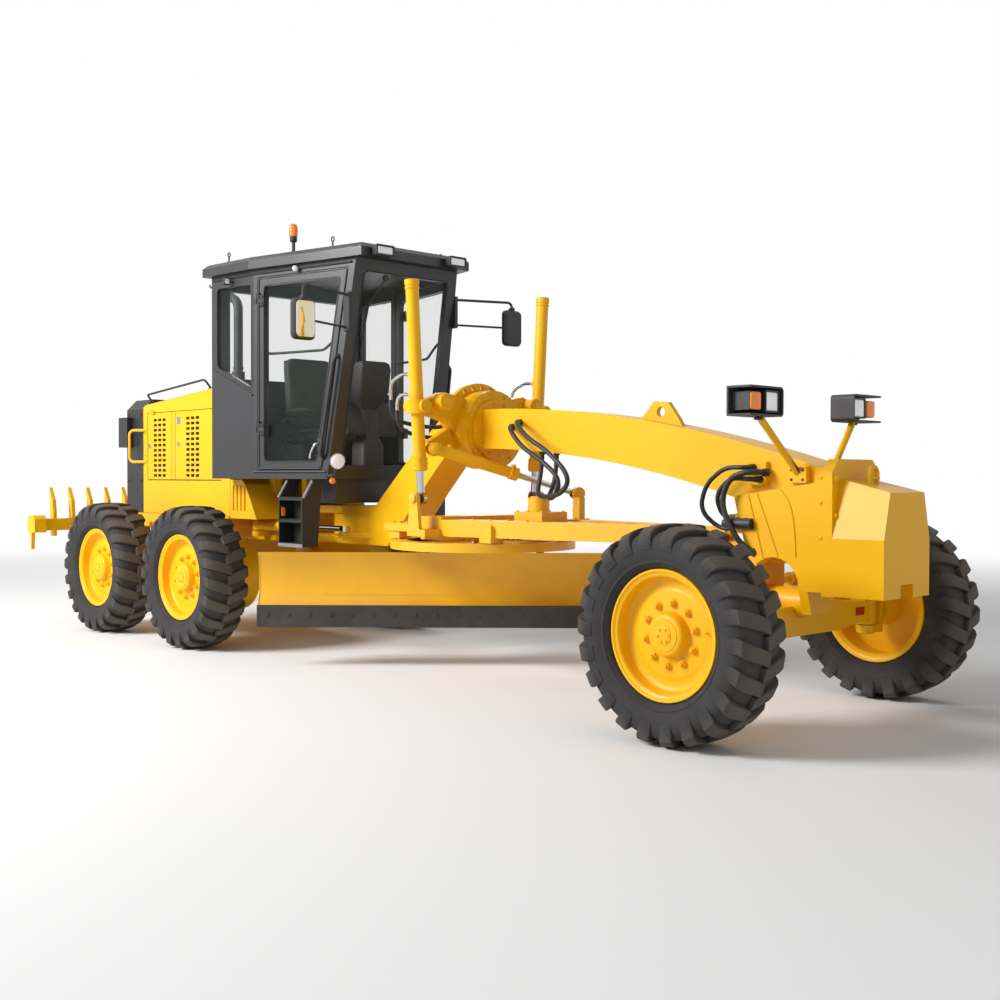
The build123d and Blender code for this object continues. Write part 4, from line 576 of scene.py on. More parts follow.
def cabDoorTrim():
    # Raised beads round the door skin, the two hinge plates and the lever's plate, on the right side.
    bead = swept(rounded(onCabSide(sideWindow(*door["edge"]), 0.002), 0.03, 5, True), 0.006, 8, closed=True)
    plates, bolts = [], []
    for z in door["hinges"]:
        plates.append(brick(*door["hingeX"], *door["hingeY"], z - door["hingeHalf"], z + door["hingeHalf"]))
        bolts += [(x, door["hingeY"][0], z + dz) for x in door["boltX"] for dz in (-door["boltZ"], door["boltZ"])]
    y = -float(cabHalf(2.7)) - 0.008
    plates.append(brick(*door["lockX"], y, y + 0.02, *door["lockZ"]))
    return joined(bead, *plates, heads(bolts, (0, -1, 0), 0.011, 0.007))


def doorLever():
    # A bent bar from the lock down and back to a flat grip.
    y = -float(cabHalf(2.69))
    path = [(2.7, y - 0.006, 1.705), (2.698, y - 0.045, 1.7), (2.675, y - 0.052, 1.668), (2.635, y - 0.05, 1.615),
        (2.627, y - 0.046, 1.585)]
    return swept(smoothPath(path, 24), np.linspace(0.012, 0.0085, 24), 12, flat=0.8)


grabBar = [(2.075, -0.7, 2.457), (2.1, -0.655, 2.457), (2.66, -0.54, 2.455), (2.82, -0.505, 2.555),
    (2.846, -0.52, 2.575)]
for tag, side in flanks:
    for name, shape, finish in (("doorTrim_", cabDoorTrim(), cabCharcoal), ("doorLever_", doorLever(), chromeBar),
            ("doorBar_", swept(rounded(grabBar, 0.03), 0.011, 10), frameBlack)):
        add(name + tag, forSide(side, shape), "door_" + tag, finish)

eye = {"places": ((1.62, -0.78), (2.81, -0.56)), "ring": 0.018, "bar": 0.0055, "z": 3.318, "shank": (3.22, 3.302),
    "seat": 3.25}


def cabFittings():
    # Gutter along the header, post handrail, roof eye bolts, window sill lines and the rear hook.
    def sideLine(points, out, radius):
        return swept(onCabSide(points, out), radius, 8)

    rail = onCabSide([(2.892, 2.4), (2.886, 2.36), (2.748, 1.62), (2.738, 1.58)], 0.045)
    rail[[0, 3], 1] += 0.05  # both ends turn back to the post
    hook = rounded([(1.375, -0.77, 3.075), (1.3, -0.77, 3.075), (1.285, -0.77, 3.1)], 0.015)
    eyes = []
    for x, y in eye["places"]:
        ring = circleOf((x, y, eye["z"]), "xz", eye["ring"], aroundTurn(20))
        low, high = eye["shank"]
        eyes += [swept(ring, eye["bar"], 8, closed=True), rodShape((x, y, low), (x, y, high), 0.007, 10),
            heads((x, y, eye["seat"]), (0, 0, 1), 0.018, 0.012)]
    return joined(sideLine([(1.39, 3.118), (1.97, 3.118), (3.03, 3.118)], 0.006, 0.009),
        swept(rounded(rail, 0.03), 0.0145, 12), sideLine([(1.4, 2.345), (1.955, 2.115)], 0.004, 0.008),
        sideLine([(1.98, 1.478), (2.76, 1.478)], 0.004, 0.009), swept(hook, 0.008, 8), *eyes)


add("cabFittings", onBothSides(cabFittings()), "rear", frameBlack)
wiper = {"pivot": (-0.22, 3.02), "elbow": (-0.37, 2.8), "wrist": (-0.385, 2.62), "bladeTop": (-0.368, 2.82),
    "tip": (-0.395, 2.42)}
wiperArm = [onScreen(*wiper["pivot"], 0.012), onScreen(*wiper["elbow"], 0.022), onScreen(*wiper["wrist"], 0.018)]
wiperBlade = [onScreen(*wiper["bladeTop"], 0.008), onScreen(*wiper["tip"], 0.008)]
add("wiper", joined(swept(rounded(wiperArm, 0.05), 0.006, 8), swept(wiperBlade, 0.008, 6, flat=0.5),
    heads(onScreen(*wiper["pivot"], 0.0), (1, 0, 0), 0.024, 0.022, 16)), "rear", frameBlack)

# Beacon and roof lamps
beaconFoot = (2.35, -0.62, 3.2553)
stemLine = [(0.0005, 0.0), (0.04, 0.0), (0.042, 0.003), (0.042, 0.006), (0.038, 0.009), (0.018, 0.015),
    (0.014, 0.02), (0.014, 0.088), (0.018, 0.093), (0.029, 0.098), (0.03, 0.101), (0.03, 0.136), (0.0005, 0.136)]
domeLine = [(0.0005, 0.138), (0.034, 0.138), (0.036, 0.142), (0.036, 0.168), (0.0345, 0.17), (0.036, 0.172),
    (0.036, 0.196), (0.0345, 0.198), (0.0358, 0.201), (0.034, 0.216), (0.029, 0.23), (0.02, 0.24), (0.01, 0.2445),
    (0.0005, 0.245)]
for name, line, segments, finish in (("beaconStem", stemLine, 32, frameBlack),
        ("beaconDome", domeLine, 40, amberLens)):
    add(name, revolved(line, segments, beaconFoot, "z"), "rear", finish, standsFor=["roof_lamps"])


def roundBox(y0, y1, z0, z1, corner, steps=5):
    # A rectangle with quarter-circle corners, as (y, z) pairs.
    turn = np.linspace(0, np.pi / 2, steps)
    centres = [(y1 - corner, z1 - corner), (y0 + corner, z1 - corner), (y0 + corner, z0 + corner),
        (y1 - corner, z0 + corner)]
    return np.concatenate([np.stack([y + corner * np.cos(turn + q * np.pi / 2),
        z + corner * np.sin(turn + q * np.pi / 2)], -1) for q, (y, z) in enumerate(centres)])


def upright(x, flat):
    # (y, z) pairs stood up at station x.
    return np.column_stack([np.full(len(flat), x), flat])


def level(z, flat):
    # (y, x) pairs laid down at height z.
    return np.column_stack([flat[:, 1], flat[:, 0], np.full(len(flat), z)])


def lampShell(x0, x1, y0, y1, z0, z1, corner, rimWidth, depth):
    # A rounded box, open in front: outline loops from the back over the rim and down into the recess.
    rows = [(x0, 0.012), (x0 + 0.008, 0.003), (x0 + 0.02, 0), (x1 - 0.003, 0), (x1, 0.003), (x1, rimWidth - 0.002),
        (x1 - depth, rimWidth + 0.004)]
    return lofted([upright(x, roundBox(y0 + inset, y1 - inset, z0 + inset, z1 - inset, max(corner - inset, 0.004)))
        for x, inset in rows])


def domed(y0, y1, z0, z1, corner, rows, leastCorner, flip=False):
    # Loops at each row's x, drawn in by the row's share of the half width and half height.
    loops = []
    for share, x in rows:
        iy, iz = (y1 - y0) / 2 * share, (z1 - z0) / 2 * share
        loops.append(upright(x, roundBox(y0 + iy, y1 - iy, z0 + iz, z1 - iz,
            max(corner * (1 - share), leastCorner))))
    return lofted(loops, flip)


def lens(x, y0, y1, z0, z1, bulge, corner=0.01):
    # A pillow of glass: loops shrink as the face rises to its middle.
    rows = ((0, -0.004), (0, 0.0), (0.06, 0.35), (0.2, 0.7), (0.45, 0.93), (0.8, 1.0))
    return domed(y0, y1, z0, z1, corner, [(share, x + bulge * lift) for share, lift in rows], 0.002)


def plateYZ(x, y0, y1, z0, z1, corner, thickness, dome):
    # A plate across the machine whose face rises by dome towards its middle; below zero it faces backwards.
    rows = ((0.0, 0.0, 0), (0.0, 0.6, 0), (0.03, 1, 0), (0.35, 1, 0.6), (0.75, 1, 1))
    return domed(y0, y1, z0, z1, corner, [(share, x + (thickness * t + dome * d)) for share, t, d in rows], 0.003,
        thickness < 0)


roofLamp = lampShell(3.1783, 3.2543, 0.285, 0.465, 3.153, 3.239, 0.014, 0.014, 0.012)
roofBack = lampShell(3.16, 3.181, 0.345, 0.405, 3.17, 3.215, 0.006, 0.006, 0.002)
add("roofLampShell", onBothSides(joined(roofLamp, roofBack)), "rear", mouldedPlastic,
    standsFor=["roof_lamps"])
add("roofLampLens", onBothSides(lens(3.2435, 0.299, 0.451, 3.167, 3.225, 0.008)), "rear", brightLens)


def roundLamp(centre, direction, radius, depth):
    # A bowl turned about its own line: (radius, along) from the back to the rim.
    ring, d = ringAbout(direction, 40)
    line = np.array([(0.0005, -1.0), (0.35, -0.98), (0.6, -0.85), (0.82, -0.5), (0.93, -0.18), (0.95, -0.06),
        (1.0, -0.05), (1.0, 0.0), (0.97, 0.02), (0.88, 0.0), (0.86, -0.08), (0.0005, -0.1)]) * [radius, depth]
    points = np.asarray(centre, float) + line[None, :, 0, None] * ring[:, None] + line[None, :, 1, None] * d
    return points.reshape(-1, 3), gridFaces(40, len(line), True, True), np.zeros(40 * len(line))


def roundGlass(centre, direction, radius, bulge):
    # Rings about a line that shrink as they rise: centre + radius * share * ring + bulge * lift along the line.
    ring, d = ringAbout(direction, 36)
    rows = ((1, -0.5), (1, 0.0), (0.9, 0.35), (0.7, 0.68), (0.4, 0.93), (0.1, 1.0))
    return lofted([np.asarray(centre, float) + radius * share * ring + bulge * lift * d for share, lift in rows])


workLamp = {"place": ((2.955, -0.62, 1.56), (0.93, -0.32, -0.12)), "radius": 0.062, "depth": 0.075, "glass": 0.054,
    "bulge": 0.012}
sideLamp = {"cup": (2.476, -0.69, 3.112), "glass": (2.478, -0.69, 3.112), "aim": (0.95, -0.3, 0)}
add("workLampBowl", onBothSides(roundLamp(*workLamp["place"], workLamp["radius"], workLamp["depth"])), "rear",
    chromeBar)
add("workLampGlass", onBothSides(roundGlass(*workLamp["place"], workLamp["glass"], workLamp["bulge"])), "rear",
    brightLens)
lampFeet = joined(swept(rounded([(2.76, -0.58, 1.452), (2.9, -0.6, 1.452), (2.905, -0.605, 1.53)], 0.02), 0.009, 8),
    brick(2.74, 2.84, -0.6, -0.57, 1.44, 1.46),
    swept(rounded([(2.78, -0.6, 1.446), (2.86, -0.605, 1.44), (2.862, -0.605, 1.41)], 0.012), 0.007, 8),
    rodShape((1.66, -0.775, 3.085), (1.66, -0.812, 3.085), 0.008, 10),
    rodShape((2.47, -0.64, 3.112), (2.47, -0.684, 3.112), 0.012, 12),
    lampShell(1.636, 1.676, -0.86, -0.8, 3.055, 3.115, 0.008, 0.006, 0.006))
add("lampFeet", onBothSides(lampFeet), "rear", frameBlack)
sideLampLens = joined(lens(1.67, -0.853, -0.807, 3.062, 3.108, 0.006),
    roundGlass(sideLamp["glass"], sideLamp["aim"], 0.024, 0.012))
add("sideLampLens", onBothSides(sideLampLens), "rear", brightLens)
add("sideLampCup", onBothSides(roundLamp(sideLamp["cup"], sideLamp["aim"], 0.027, 0.03)), "rear", frameBlack)
add("cornerLamp", onBothSides(roundGlass((2.872, -0.606, 1.405), (1, -0.2, 0), 0.024, 0.014)), "rear", amberLens)

# Mirrors
mirror = {"heads": ((1, 2.72), (-1, 2.61)), "y": 1.075, "glassX": 3.1395, "glass": (0.0885, 0.141),
    "coverX": 3.1845, "cover": (0.082, 0.134), "clampX": 3.153, "clampHalf": 0.022, "clampZ": 0.16}


def mirrorPlate(side, z, x, size, *rest):
    # A plate on one mirror head, by half its width and height.
    y = side * mirror["y"]
    return plateYZ(x, y - size[0], y + size[0], z - size[1], z + size[1], *rest)


glassFaces = [mirrorPlate(side, z, mirror["glassX"], mirror["glass"], 0.033, -0.003, -0.001) for side,
    z in mirror["heads"]]
add("mirrorGlass", joined(*glassFaces), "rear", mirrorGlass)
add("mirrorCover", mirrorPlate(*mirror["heads"][1], mirror["coverX"], mirror["cover"], 0.03, 0.003, 0.004), "rear",
    mirrorGlass)
clamps = [rodShape(*[(mirror["clampX"] + dx, side * mirror["y"], z + mirror["clampZ"])
    for dx in (-mirror["clampHalf"], mirror["clampHalf"])], 0.02, 12) for side, z in mirror["heads"]]
add("mirrorClamps", joined(*clamps), "rear", frameBlack)
print("cab fittings done")

# Steps and rails
step = {"tube": 0.0115, "apart": 0.355, "rows": ((0.901, 5), (1.095, 5), (1.273, 3)), "start": (2.345, -0.735),
    "pitch": (0.0295, 0.022)}
stepTube = rodShape((2.313, -0.744, 1.266), (2.313, -0.656, 1.406), step["tube"], 16)
treadLip = brick(2.318, 2.663, -0.7515, -0.7465, 0.874, 0.902)
add("stepEdges", onBothSides(joined(stepTube, moved(stepTube, (step["apart"], 0, 0)), treadLip)), "rear", lampGrey)
teeth = [(step["start"][0] + step["pitch"][0] * k, step["start"][1] + step["pitch"][1] * row, z) for z,
    rows in step["rows"] for row in range(rows) for k in range(11)]
add("stepTeeth", onBothSides(bricks(teeth, [[0.018, 0.006, 0.008]] * len(teeth))), "rear", frameBlack)
# The reflectors take the amber lens finish, so they carry its painted glow though they are no lamp.
add("stepReflectors", onBothSides(plateYZ(2.345, -0.735, -0.7, 1.12, 1.19, 0.004, 0.003, 0.001)), "rear", amberLens)

# Hood and guard
hood = {"side": -0.6, "lid": -0.597, "seamY": (-0.5985, -0.5955), "seamX": (0.292, 0.356),
    "latches": ((-0.14, 1.73), (0.42, 1.74))}
louvre = {"starts": (-0.06, 0.56), "columns": 3, "step": 0.086, "middle": 0.031, "y": -0.588, "rows": 12,
    "low": 1.434, "pitch": 0.048, "pair": (0.006, 0.02), "size": (0.0615, 0.022, 0.0018), "tilt": math.radians(-38)}


def slabs(centres, size, tilt):
    # Equal thin plates turned by tilt about x: corner = centre + unit corner * size, with y and z rotated.
    c, s = math.cos(tilt), math.sin(tilt)
    corner = unitCorners * size
    corner = np.stack([corner[:, 0], c * corner[:, 1] - s * corner[:, 2], s * corner[:, 1] + c * corner[:, 2]], -1)
    return boxes(np.asarray(centres, float)[:, None] + corner[None])


bladePlaces = [(x + c * louvre["step"] + louvre["middle"], louvre["y"], louvre["low"] + r * louvre["pitch"] + dz)
    for x in louvre["starts"] for c in range(louvre["columns"]) for r in range(louvre["rows"])
    for dz in louvre["pair"]]
# The louvre blades are black: painted shade, dark plates that stand in for the shade inside the hood's louvre
# openings.
paintedShadeLouvres = slabs(bladePlaces, louvre["size"], louvre["tilt"])
seams = joined(*[brick(x - 0.0025, x + 0.0025, *hood["seamY"], 1.412, 2.038) for x in hood["seamX"]],
    brick(-0.168, 1.168, *hood["seamY"], 1.408, 1.411))
latches = joined(heads([(x, hood["lid"], z) for x, z in hood["latches"]], (0, -1, 0), 0.024, 0.008, 24, 0.8),
    bricks([(x, -0.606, z) for x, z in hood["latches"]], [[0.008, 0.006, 0.026]] * 2))
# The black finish on the louvre blades is painted shade.
for tag, side in flanks:
    for name, shape, finish in (("paintedShadeLouvres_", paintedShadeLouvres, frameBlack), ("lidSeams_", seams, frameBlack),
            ("lidLatches_", latches, chromeBar)):
        add(name + tag, forSide(side, shape), "hood_door_" + tag, finish)
add("lidPlate", brick(0.385, 0.455, -0.5995, -0.596, 1.925, 1.995), "hood_door_right", lampGrey, bevel=0.001)
hoodBolts = [(x, hood["side"], z) for x in (-0.225, 1.245) for z in (1.45, 1.65, 1.85)]
add("hoodBolts", onBothSides(heads(hoodBolts, (0, -1, 0), 0.01, 0.006)), "rear", machineYellow)
stackRing = revolved([(0.043, 0.0), (0.0475, 0.0), (0.0475, 0.022), (0.043, 0.022)], 32, (0.93, -0.27, 2.42), "z")
collarLine = [(0.0745, -0.004), (0.092, -0.004), (0.092, 0.01), (0.088, 0.014), (0.0765, 0.014), (0.0745, 0.012)]
add("stackRings", joined(stackRing, revolved(collarLine, 40, (0.93, -0.27, 2.232), "z")), "rear", frameBlack)
for glass, tag, low, high in ((clearLens, "Clear", 1.738, 1.823), (amberLens, "Amber", 1.828, 1.91),
        (redLens, "Red", 1.915, 1.999)):
    add("tailLamp" + tag, onBothSides(plateYZ(-0.65, 0.584, 0.646, low, high, 0.006, -0.007, -0.003)), "rear",
        glass)
guardBolts = [(x, hood["side"], z) for x in (-0.555, -0.31) for z in (1.16, 1.4, 2.04)]
grilleBars = [brick(-0.604, -0.592, y - 0.006, y + 0.006, 1.2, 1.94) for y in (-0.235, 0.0, 0.235)]
add("guardTrim", joined(onBothSides(heads(guardBolts, (0, -1, 0), 0.012, 0.007)), *grilleBars), "rear", frameBlack)
print("hood and guard done")

# Head lamps
add("headLampLens", onBothSides(lens(6.8605, 0.406, 0.52, 1.814, 1.918, 0.007)), "front", brightLens)
add("indicatorCap", onBothSides(plateYZ(6.8495, 0.562, 0.653, 1.817, 1.915, 0.012, 0.01, 0.005)), "front",
    amberLens)
lampBolts = heads([(x, 0.187, z) for x in (6.812, 6.888) for z in (1.428, 1.484)], (0, 1, 0), 0.009, 0.006)
lampClamp = heads((6.8, 0.5, 1.776), (0, 0, -1), 0.026, 0.012, 16)
add("lampBolts", onBothSides(joined(lampBolts, lampClamp)), "front", frameBlack)

# Front frame
frontSide = -0.2335
weldLines = [[(6.545, 1.338), (6.6, 1.145), (6.655, 0.955)], [(6.605, 1.347), (6.68, 1.165), (6.752, 0.985)],
    [(6.765, 1.37), (6.815, 1.325), (6.852, 1.232), (6.868, 1.1), (6.873, 0.985)]]
seamLine = [(7.051, -0.148, 1.44), (7.051, -0.148, 1.2), (7.051, -0.148, 0.96)]
welds = [swept(smoothPath(line, 24), 0.0055, 8)
    for line in [[(x, frontSide, z) for x, z in line] for line in weldLines] + [seamLine]]
add("frontWelds", onBothSides(joined(*welds)), "front", machineYellow)
flangeBolts = [(7.12, y, z) for y in (-0.222, 0.222) for z in (0.825, 1.025, 1.225, 1.437)]
flangeNuts = [(7.05, y, z) for y in (-0.24, 0.24) for z in (1.1, 1.3, 1.44)]
flangeParts = joined(heads(flangeBolts, (1, 0, 0), 0.019, 0.016), heads(flangeNuts, (-1, 0, 0), 0.017, 0.014))
add("frontBolts", flangeParts, "front", machineYellow)
valve = {"y": -0.248, "z": 1.166}
valveBody = joined(*[rodShape((x0, valve["y"], valve["z"]), (x1, valve["y"], valve["z"]), r) for x0, x1,
    r in ((6.395, 6.585, 0.033), (6.375, 6.397, 0.022))], bricks([(x, -0.222, valve["z"]) for x in (6.47, 6.53)],
    [[0.022, 0.03, 0.07]] * 2))
add("valveBody", valveBody, "front", frameBlack)
postSleeve = joined(rodShape((6.8495, 0.168, 1.457), (6.8005, 0.497, 1.786), 0.0208, 24),
    brick(6.7885, 6.9115, 0.149, 0.1885, 1.4105, 1.5015))
add("lampPosts", onBothSides(postSleeve), "front", machineYellow)
bail = {"x": 7.23, "half": 0.04, "foot": 1.385, "bow": 1.462, "bar": 0.0135}
bailBow = circleOf((bail["x"], 0, bail["bow"]), "yz", bail["half"], np.linspace(0, np.pi, 17))
bailPath = [[(bail["x"], bail["half"], bail["foot"])], bailBow, [(bail["x"], -bail["half"], bail["foot"])]]
add("noseBail", swept(np.concatenate(bailPath), bail["bar"], 14), "front", machineYellow)
fittingTable = [((6.54, -0.176, 1.5), (0, -1, 0)), ((6.59, -0.176, 1.43), (0, -1, 0)),
    ((6.441, -0.19, 1.13), (-1, 0, 0)), ((6.441, -0.19, 1.2), (-1, 0, 0))]
fittings = []
for place, way in np.array(fittingTable):
    fittings += [heads(place - 0.004 * way, way, 0.024, 0.026),
        heads(place + 0.02 * way, way, 0.0185, 0.034, 16, 0.92)]
add("hoseFittings", joined(*fittings), "front", wornSteel)
print("front frame done")

# Saddle and lift cylinders
saddle = {"z": 1.793, "drum": 0.196, "ring": 0.262, "turn": aroundTurn(12) + 0.13}
boltRows = (("drum", 4.12, 1, 0.013, 0.01), ("ring", 4.095, 1, 0.015, 0.013), ("drum", 3.86, -1, 0.013, 0.01))
saddleBolts = [heads(circleOf((x, 0, saddle["z"]), "yz", saddle[row], saddle["turn"]), (way, 0, 0), radius, height)
    for row, x, way, radius, height in boltRows]
add("saddleBolts", joined(*saddleBolts), "front", machineYellow)
lift = {"x": 3.93, "low": 1.49, "rise": 1.37, "y": 0.59, "spread": 0.08, "pin": 1.283, "trunnion": (-0.6169, 1.95),
    "cap": 0.049}
saddleBoss = {"x": (3.985, 4.075), "place": (-0.455, 1.985), "radius": 0.062}
capLine = [(0.0005, 0.03), (0.046, 0.03), (0.05, 0.034), (0.05, 0.05), (0.046, 0.055), (0.034, 0.056),
    (0.031, 0.052), (0.0005, 0.051)]
trunnions = []
for way in (-1, 1):
    x, (y, z) = lift["x"] + way * lift["cap"], lift["trunnion"]
    spots = circleOf((x + way * 0.053, y, z), "yz", 0.019, np.array((0.4, 1.97, 3.54, 5.11)))
    trunnions += [revolved(capLine, 32, (x, y, z), "x", way),
        rodShape((x, y, z), (x + way * 0.036, y, z), 0.044, 28), heads(spots, (way, 0, 0), 0.006, 0.004)]
bossBack, bossFace = [(x, *saddleBoss["place"]) for x in saddleBoss["x"]]
trunnions += [rodShape(bossBack, bossFace, saddleBoss["radius"], 32), heads(bossFace, (1, 0, 0), 0.036, 0.012, 24),
    heads(circleOf(bossFace, "yz", 0.048, np.array((0.6, 2.17, 3.74, 5.31))), (1, 0, 0), 0.007, 0.006)]
add("trunnionCaps", onBothSides(joined(*trunnions)), "front", machineYellow)


def liftPoint(z, forward=0.0, out=0.0):
    # A point on the right lift cylinder's line at height z.
    return np.array([lift["x"] + forward, -(lift["y"] + lift["spread"] * (z - lift["low"]) / lift["rise"]) - out,
        z])


bandTable = ((1.4865, 0.046, 0.01), (1.53, 0.0605, 0.012), (1.578, 0.059, 0.006), (2.8, 0.0555, 0.01))
barrelBands = [rodShape(liftPoint(z - height / 2), liftPoint(z + height / 2), radius, 36, 0.0015) for z, radius,
    height in bandTable]
portBoss = [heads(liftPoint(z, -0.046), (-1, 0, 0), 0.02, 0.03, 16, 0.9) for z in (2.185, 2.035)]
sideBolt = heads(liftPoint(1.555, 0.04, 0.04), (0.7, -0.7, 0), 0.014, 0.012)
add("barrelBands", onBothSides(joined(*barrelBands, *portBoss, sideBolt)), "front", machineYellow)
pipeTable = [[(2.185, -0.07), (2.19, -0.16), (2.15, -0.27), (2.11, -0.3), (2.01, -0.305)],
    [(2.035, -0.07), (2.045, -0.14), (2.03, -0.21), (1.98, -0.235), (1.93, -0.235)]]
pipes, pipeHoses = [], []
for k, rows in enumerate(pipeTable):
    path = [liftPoint(z, forward) for z, forward in rows]
    pipes.append(swept(rounded(path, 0.03), 0.013, 12))
    end = path[-1]
    path = [end, end - [0, 0, 0.09], end + [0.03, 0.06, -0.17], (3.8, -0.3, 1.8 - 0.08 * k),
        (3.885, -0.29, 1.845 - 0.08 * k)]
    pipeHoses.append(swept(smoothPath(path, 30), 0.0155, 12))
add("liftPipes", onBothSides(joined(*pipes)), "front", chromeBar)
add("liftHoses", onBothSides(joined(*pipeHoses)), "front", hoseRubber)
for tag, side in flanks:
    foot, out = liftPoint(lift["pin"]) * (1, -side, 1), np.array([0, side, 0])
    stud = joined(rodShape(foot - 0.02 * out, foot + 0.034 * out, 0.0195, 24),
        rodShape(foot + 0.016 * out, foot + 0.024 * out, 0.034, 24),
        heads(foot - 0.015 * out, -out, 0.036, 0.008, 24))
    add("liftStud_" + tag, stud, "lift_rod_" + tag, wornSteel)
shift = {"pinWay": np.array([0.886914, -0.461934, 0.0]), "line": np.array([0.442422, 0.849449, -0.287574]),
    "reach": 0.655, "tip": np.array([4.51, 0.44, 1.32]), "base": np.array([4.01, -0.52, 1.645])}
tip, base, way, line = (shift[key] for key in ("tip", "base", "pinWay", "line"))
add("shiftStud", joined(rodShape(tip + 0.015 * way, tip + 0.046 * way, 0.022, 24),
    rodShape(tip + 0.02 * way, tip + 0.03 * way, 0.034, 24),
    heads(tip - 0.019 * way, -way, 0.026, 0.008, 20)), "shift_rod", wornSteel)
add("shiftPinCap", heads(base + 0.044 * way, way, 0.034, 0.012, 24), "front", machineYellow)
mouth = base + shift["reach"] * line
shiftBands = joined(rodShape(mouth - 0.004 * line, mouth + 0.006 * line, 0.04, 32),
    rodShape(mouth - 0.06 * line, mouth - 0.05 * line, 0.0505, 32),
    heads(base + 0.12 * line + [0, 0, 0.04], (0, 0, 1), 0.018, 0.024, 16),
    heads(mouth - 0.03 * line + [0, 0, 0.046], (0, 0, 1), 0.018, 0.02, 16))
add("shiftBands", shiftBands, "shift_barrel", machineYellow)
print("saddle and cylinders done")

# Drawbar and circle
bar = {"top": 1.131, "shoeTop": 1.0905, "caseTop": 1.1905, "shoes": (3.455, 4.475)}
circle = {"x": 3.965, "teeth": 80, "toothZ": (0.937, 0.965), "boltRing": 0.636, "boltZ": 0.967}
drawBolts = [(x, y, bar["top"]) for x, y in ((4.3, -0.4), (4.45, -0.37), (4.6, -0.34), (4.75, -0.31))]
shoeBolts = [(x, y, bar["shoeTop"]) for cx in bar["shoes"] for x in (cx - 0.035, cx + 0.035)
    for y in (-0.425, -0.355)]
caseBolts = [(x, y, bar["caseTop"]) for x in (4.455, 4.56, 4.7) for y in (-0.11, 0.11)]
gearCase = joined(rodShape((4.56, 0, 1.29), (4.56, 0, 1.3), 0.062, 32),
    rodShape((4.38, 0.06, 1.15), (4.372, 0.06, 1.15), 0.04, 24), brick(4.4, 4.45, 0.045, 0.075, 1.195, 1.225))
pinNut = heads((lift["x"], -0.657, lift["pin"]), (0, -1, 0), 0.036, 0.018, 24)
drawTrim = joined(onBothSides(joined(heads(drawBolts, (0, 0, 1), 0.014, 0.01),
    heads(shoeBolts, (0, 0, 1), 0.013, 0.01), pinNut)), heads(caseBolts, (0, 0, 1), 0.012, 0.009), gearCase)
add("drawTrim", drawTrim, "drawbar", dustyYellow)
toothOutline = np.array([(-0.011, 0.574), (-0.0065, 0.552), (0.0065, 0.552), (0.011, 0.574)])
across, reach = toothOutline.T  # reach is from the circle's middle
ringTeeth = []
for t in aroundTurn(circle["teeth"]):
    c, s = math.cos(t), math.sin(t)
    places = circle["x"] + c * reach - s * across, s * reach + c * across
    ringTeeth.append(lofted([np.column_stack([*places, np.full(4, z)]) for z in circle["toothZ"]]))
add("ringTeeth", joined(*ringTeeth), "circle", wornSteel)
ringPlaces = circleOf((circle["x"], 0, circle["boltZ"]), "xy", circle["boltRing"], aroundTurn(24))
add("ringBolts", heads(ringPlaces, (0, 0, 1), 0.012, 0.004), "circle", dustyYellow)

# Blade
blade = {"turn": math.radians(46), "shift": (-0.031, 0.032, 0), "edgeZ": 0.395, "ends": (-1.6775, 1.6725),
    "endThick": 0.005, "low": 0.436, "height": 0.43, "depth": 0.071, "lean": 0.014, "back": -0.062}


def onBlade(points):
    # Blade rows (along, back, z) in metres, turned by 46 degrees about the circle's middle.
    points = np.atleast_2d(points).astype(float) + blade["shift"]
    c, s = math.cos(blade["turn"]), math.sin(blade["turn"])
    return np.stack([circle["x"] + c * points[:, 0] - s * points[:, 1], s * points[:, 0] + c * points[:, 1],
        points[:, 2]], -1)


bladeOut = np.array([math.sin(blade["turn"]), -math.cos(blade["turn"]), 0])
edgeBolts = onBlade([(u, -0.0817 + 0.079 * (blade["edgeZ"] - blade["low"]), blade["edgeZ"])
    for u in np.linspace(-1.6, 1.6, 21)])
add("edgeBolts", heads(edgeBolts, bladeOut, 0.017, 0.006, 16, 0.7), "blade", wornSteel)
# The mouldboard's section: back + lean * a + 4 * depth * a * (1 - a) at share a of its height.
section = [(blade["back"] + blade["lean"] * a + 4 * blade["depth"] * a * (1 - a),
    blade["low"] + blade["height"] * a) for a in np.linspace(0, 1, 12)]
section = [(b - 0.003, z) for b, z in section] + [(b + 0.024, z) for b, z in section[::-1]]
endPlates = [lofted([onBlade([(u + du, b, z) for b, z in section]) for du in (0, blade["endThick"])])
    for u in blade["ends"]]
add("bladeEnds", joined(*endPlates), "blade", bladeYellow)
jawBolts = onBlade([(u, 0.106, z) for u in (-0.5, 0.5) for z in (0.475, 0.56, 0.73, 0.815)])
add("jawBolts", heads(jawBolts, -bladeOut, 0.014, 0.011), "blade_carrier", dustyYellow)
print("drawbar, circle and blade done")

# Axles, tandems and ripper
axle = {"x": 6.69, "bossZ": 0.7, "bossRing": 0.072, "bossHalf": 0.138, "kingpinY": 0.86, "kingpinHalf": 0.152}
case = {"x": 0.77, "y": 0.858, "ring": 0.215}
caseCover = [(0.0005, -0.004), (0.255, -0.004), (0.258, 0.0), (0.258, 0.008), (0.25, 0.012), (0.0005, 0.012)]
axleLamps = [plateYZ(6.7615, y - 0.05, y + 0.05, 0.575, 0.625, 0.006, 0.006, 0.002) for y in (-0.66, 0.66)]
add("axleReflectors", joined(*axleLamps), "front_axle", redLens)
axleBolts = [heads(circleOf((axle["x"] + way * axle["bossHalf"], 0, axle["bossZ"]), "yz", axle["bossRing"],
    aroundTurn(8) + 0.2), (way, 0, 0), 0.009, 0.005) for way in (1, -1)]
add("axleBolts", joined(*axleBolts), "front_axle", machineYellow)
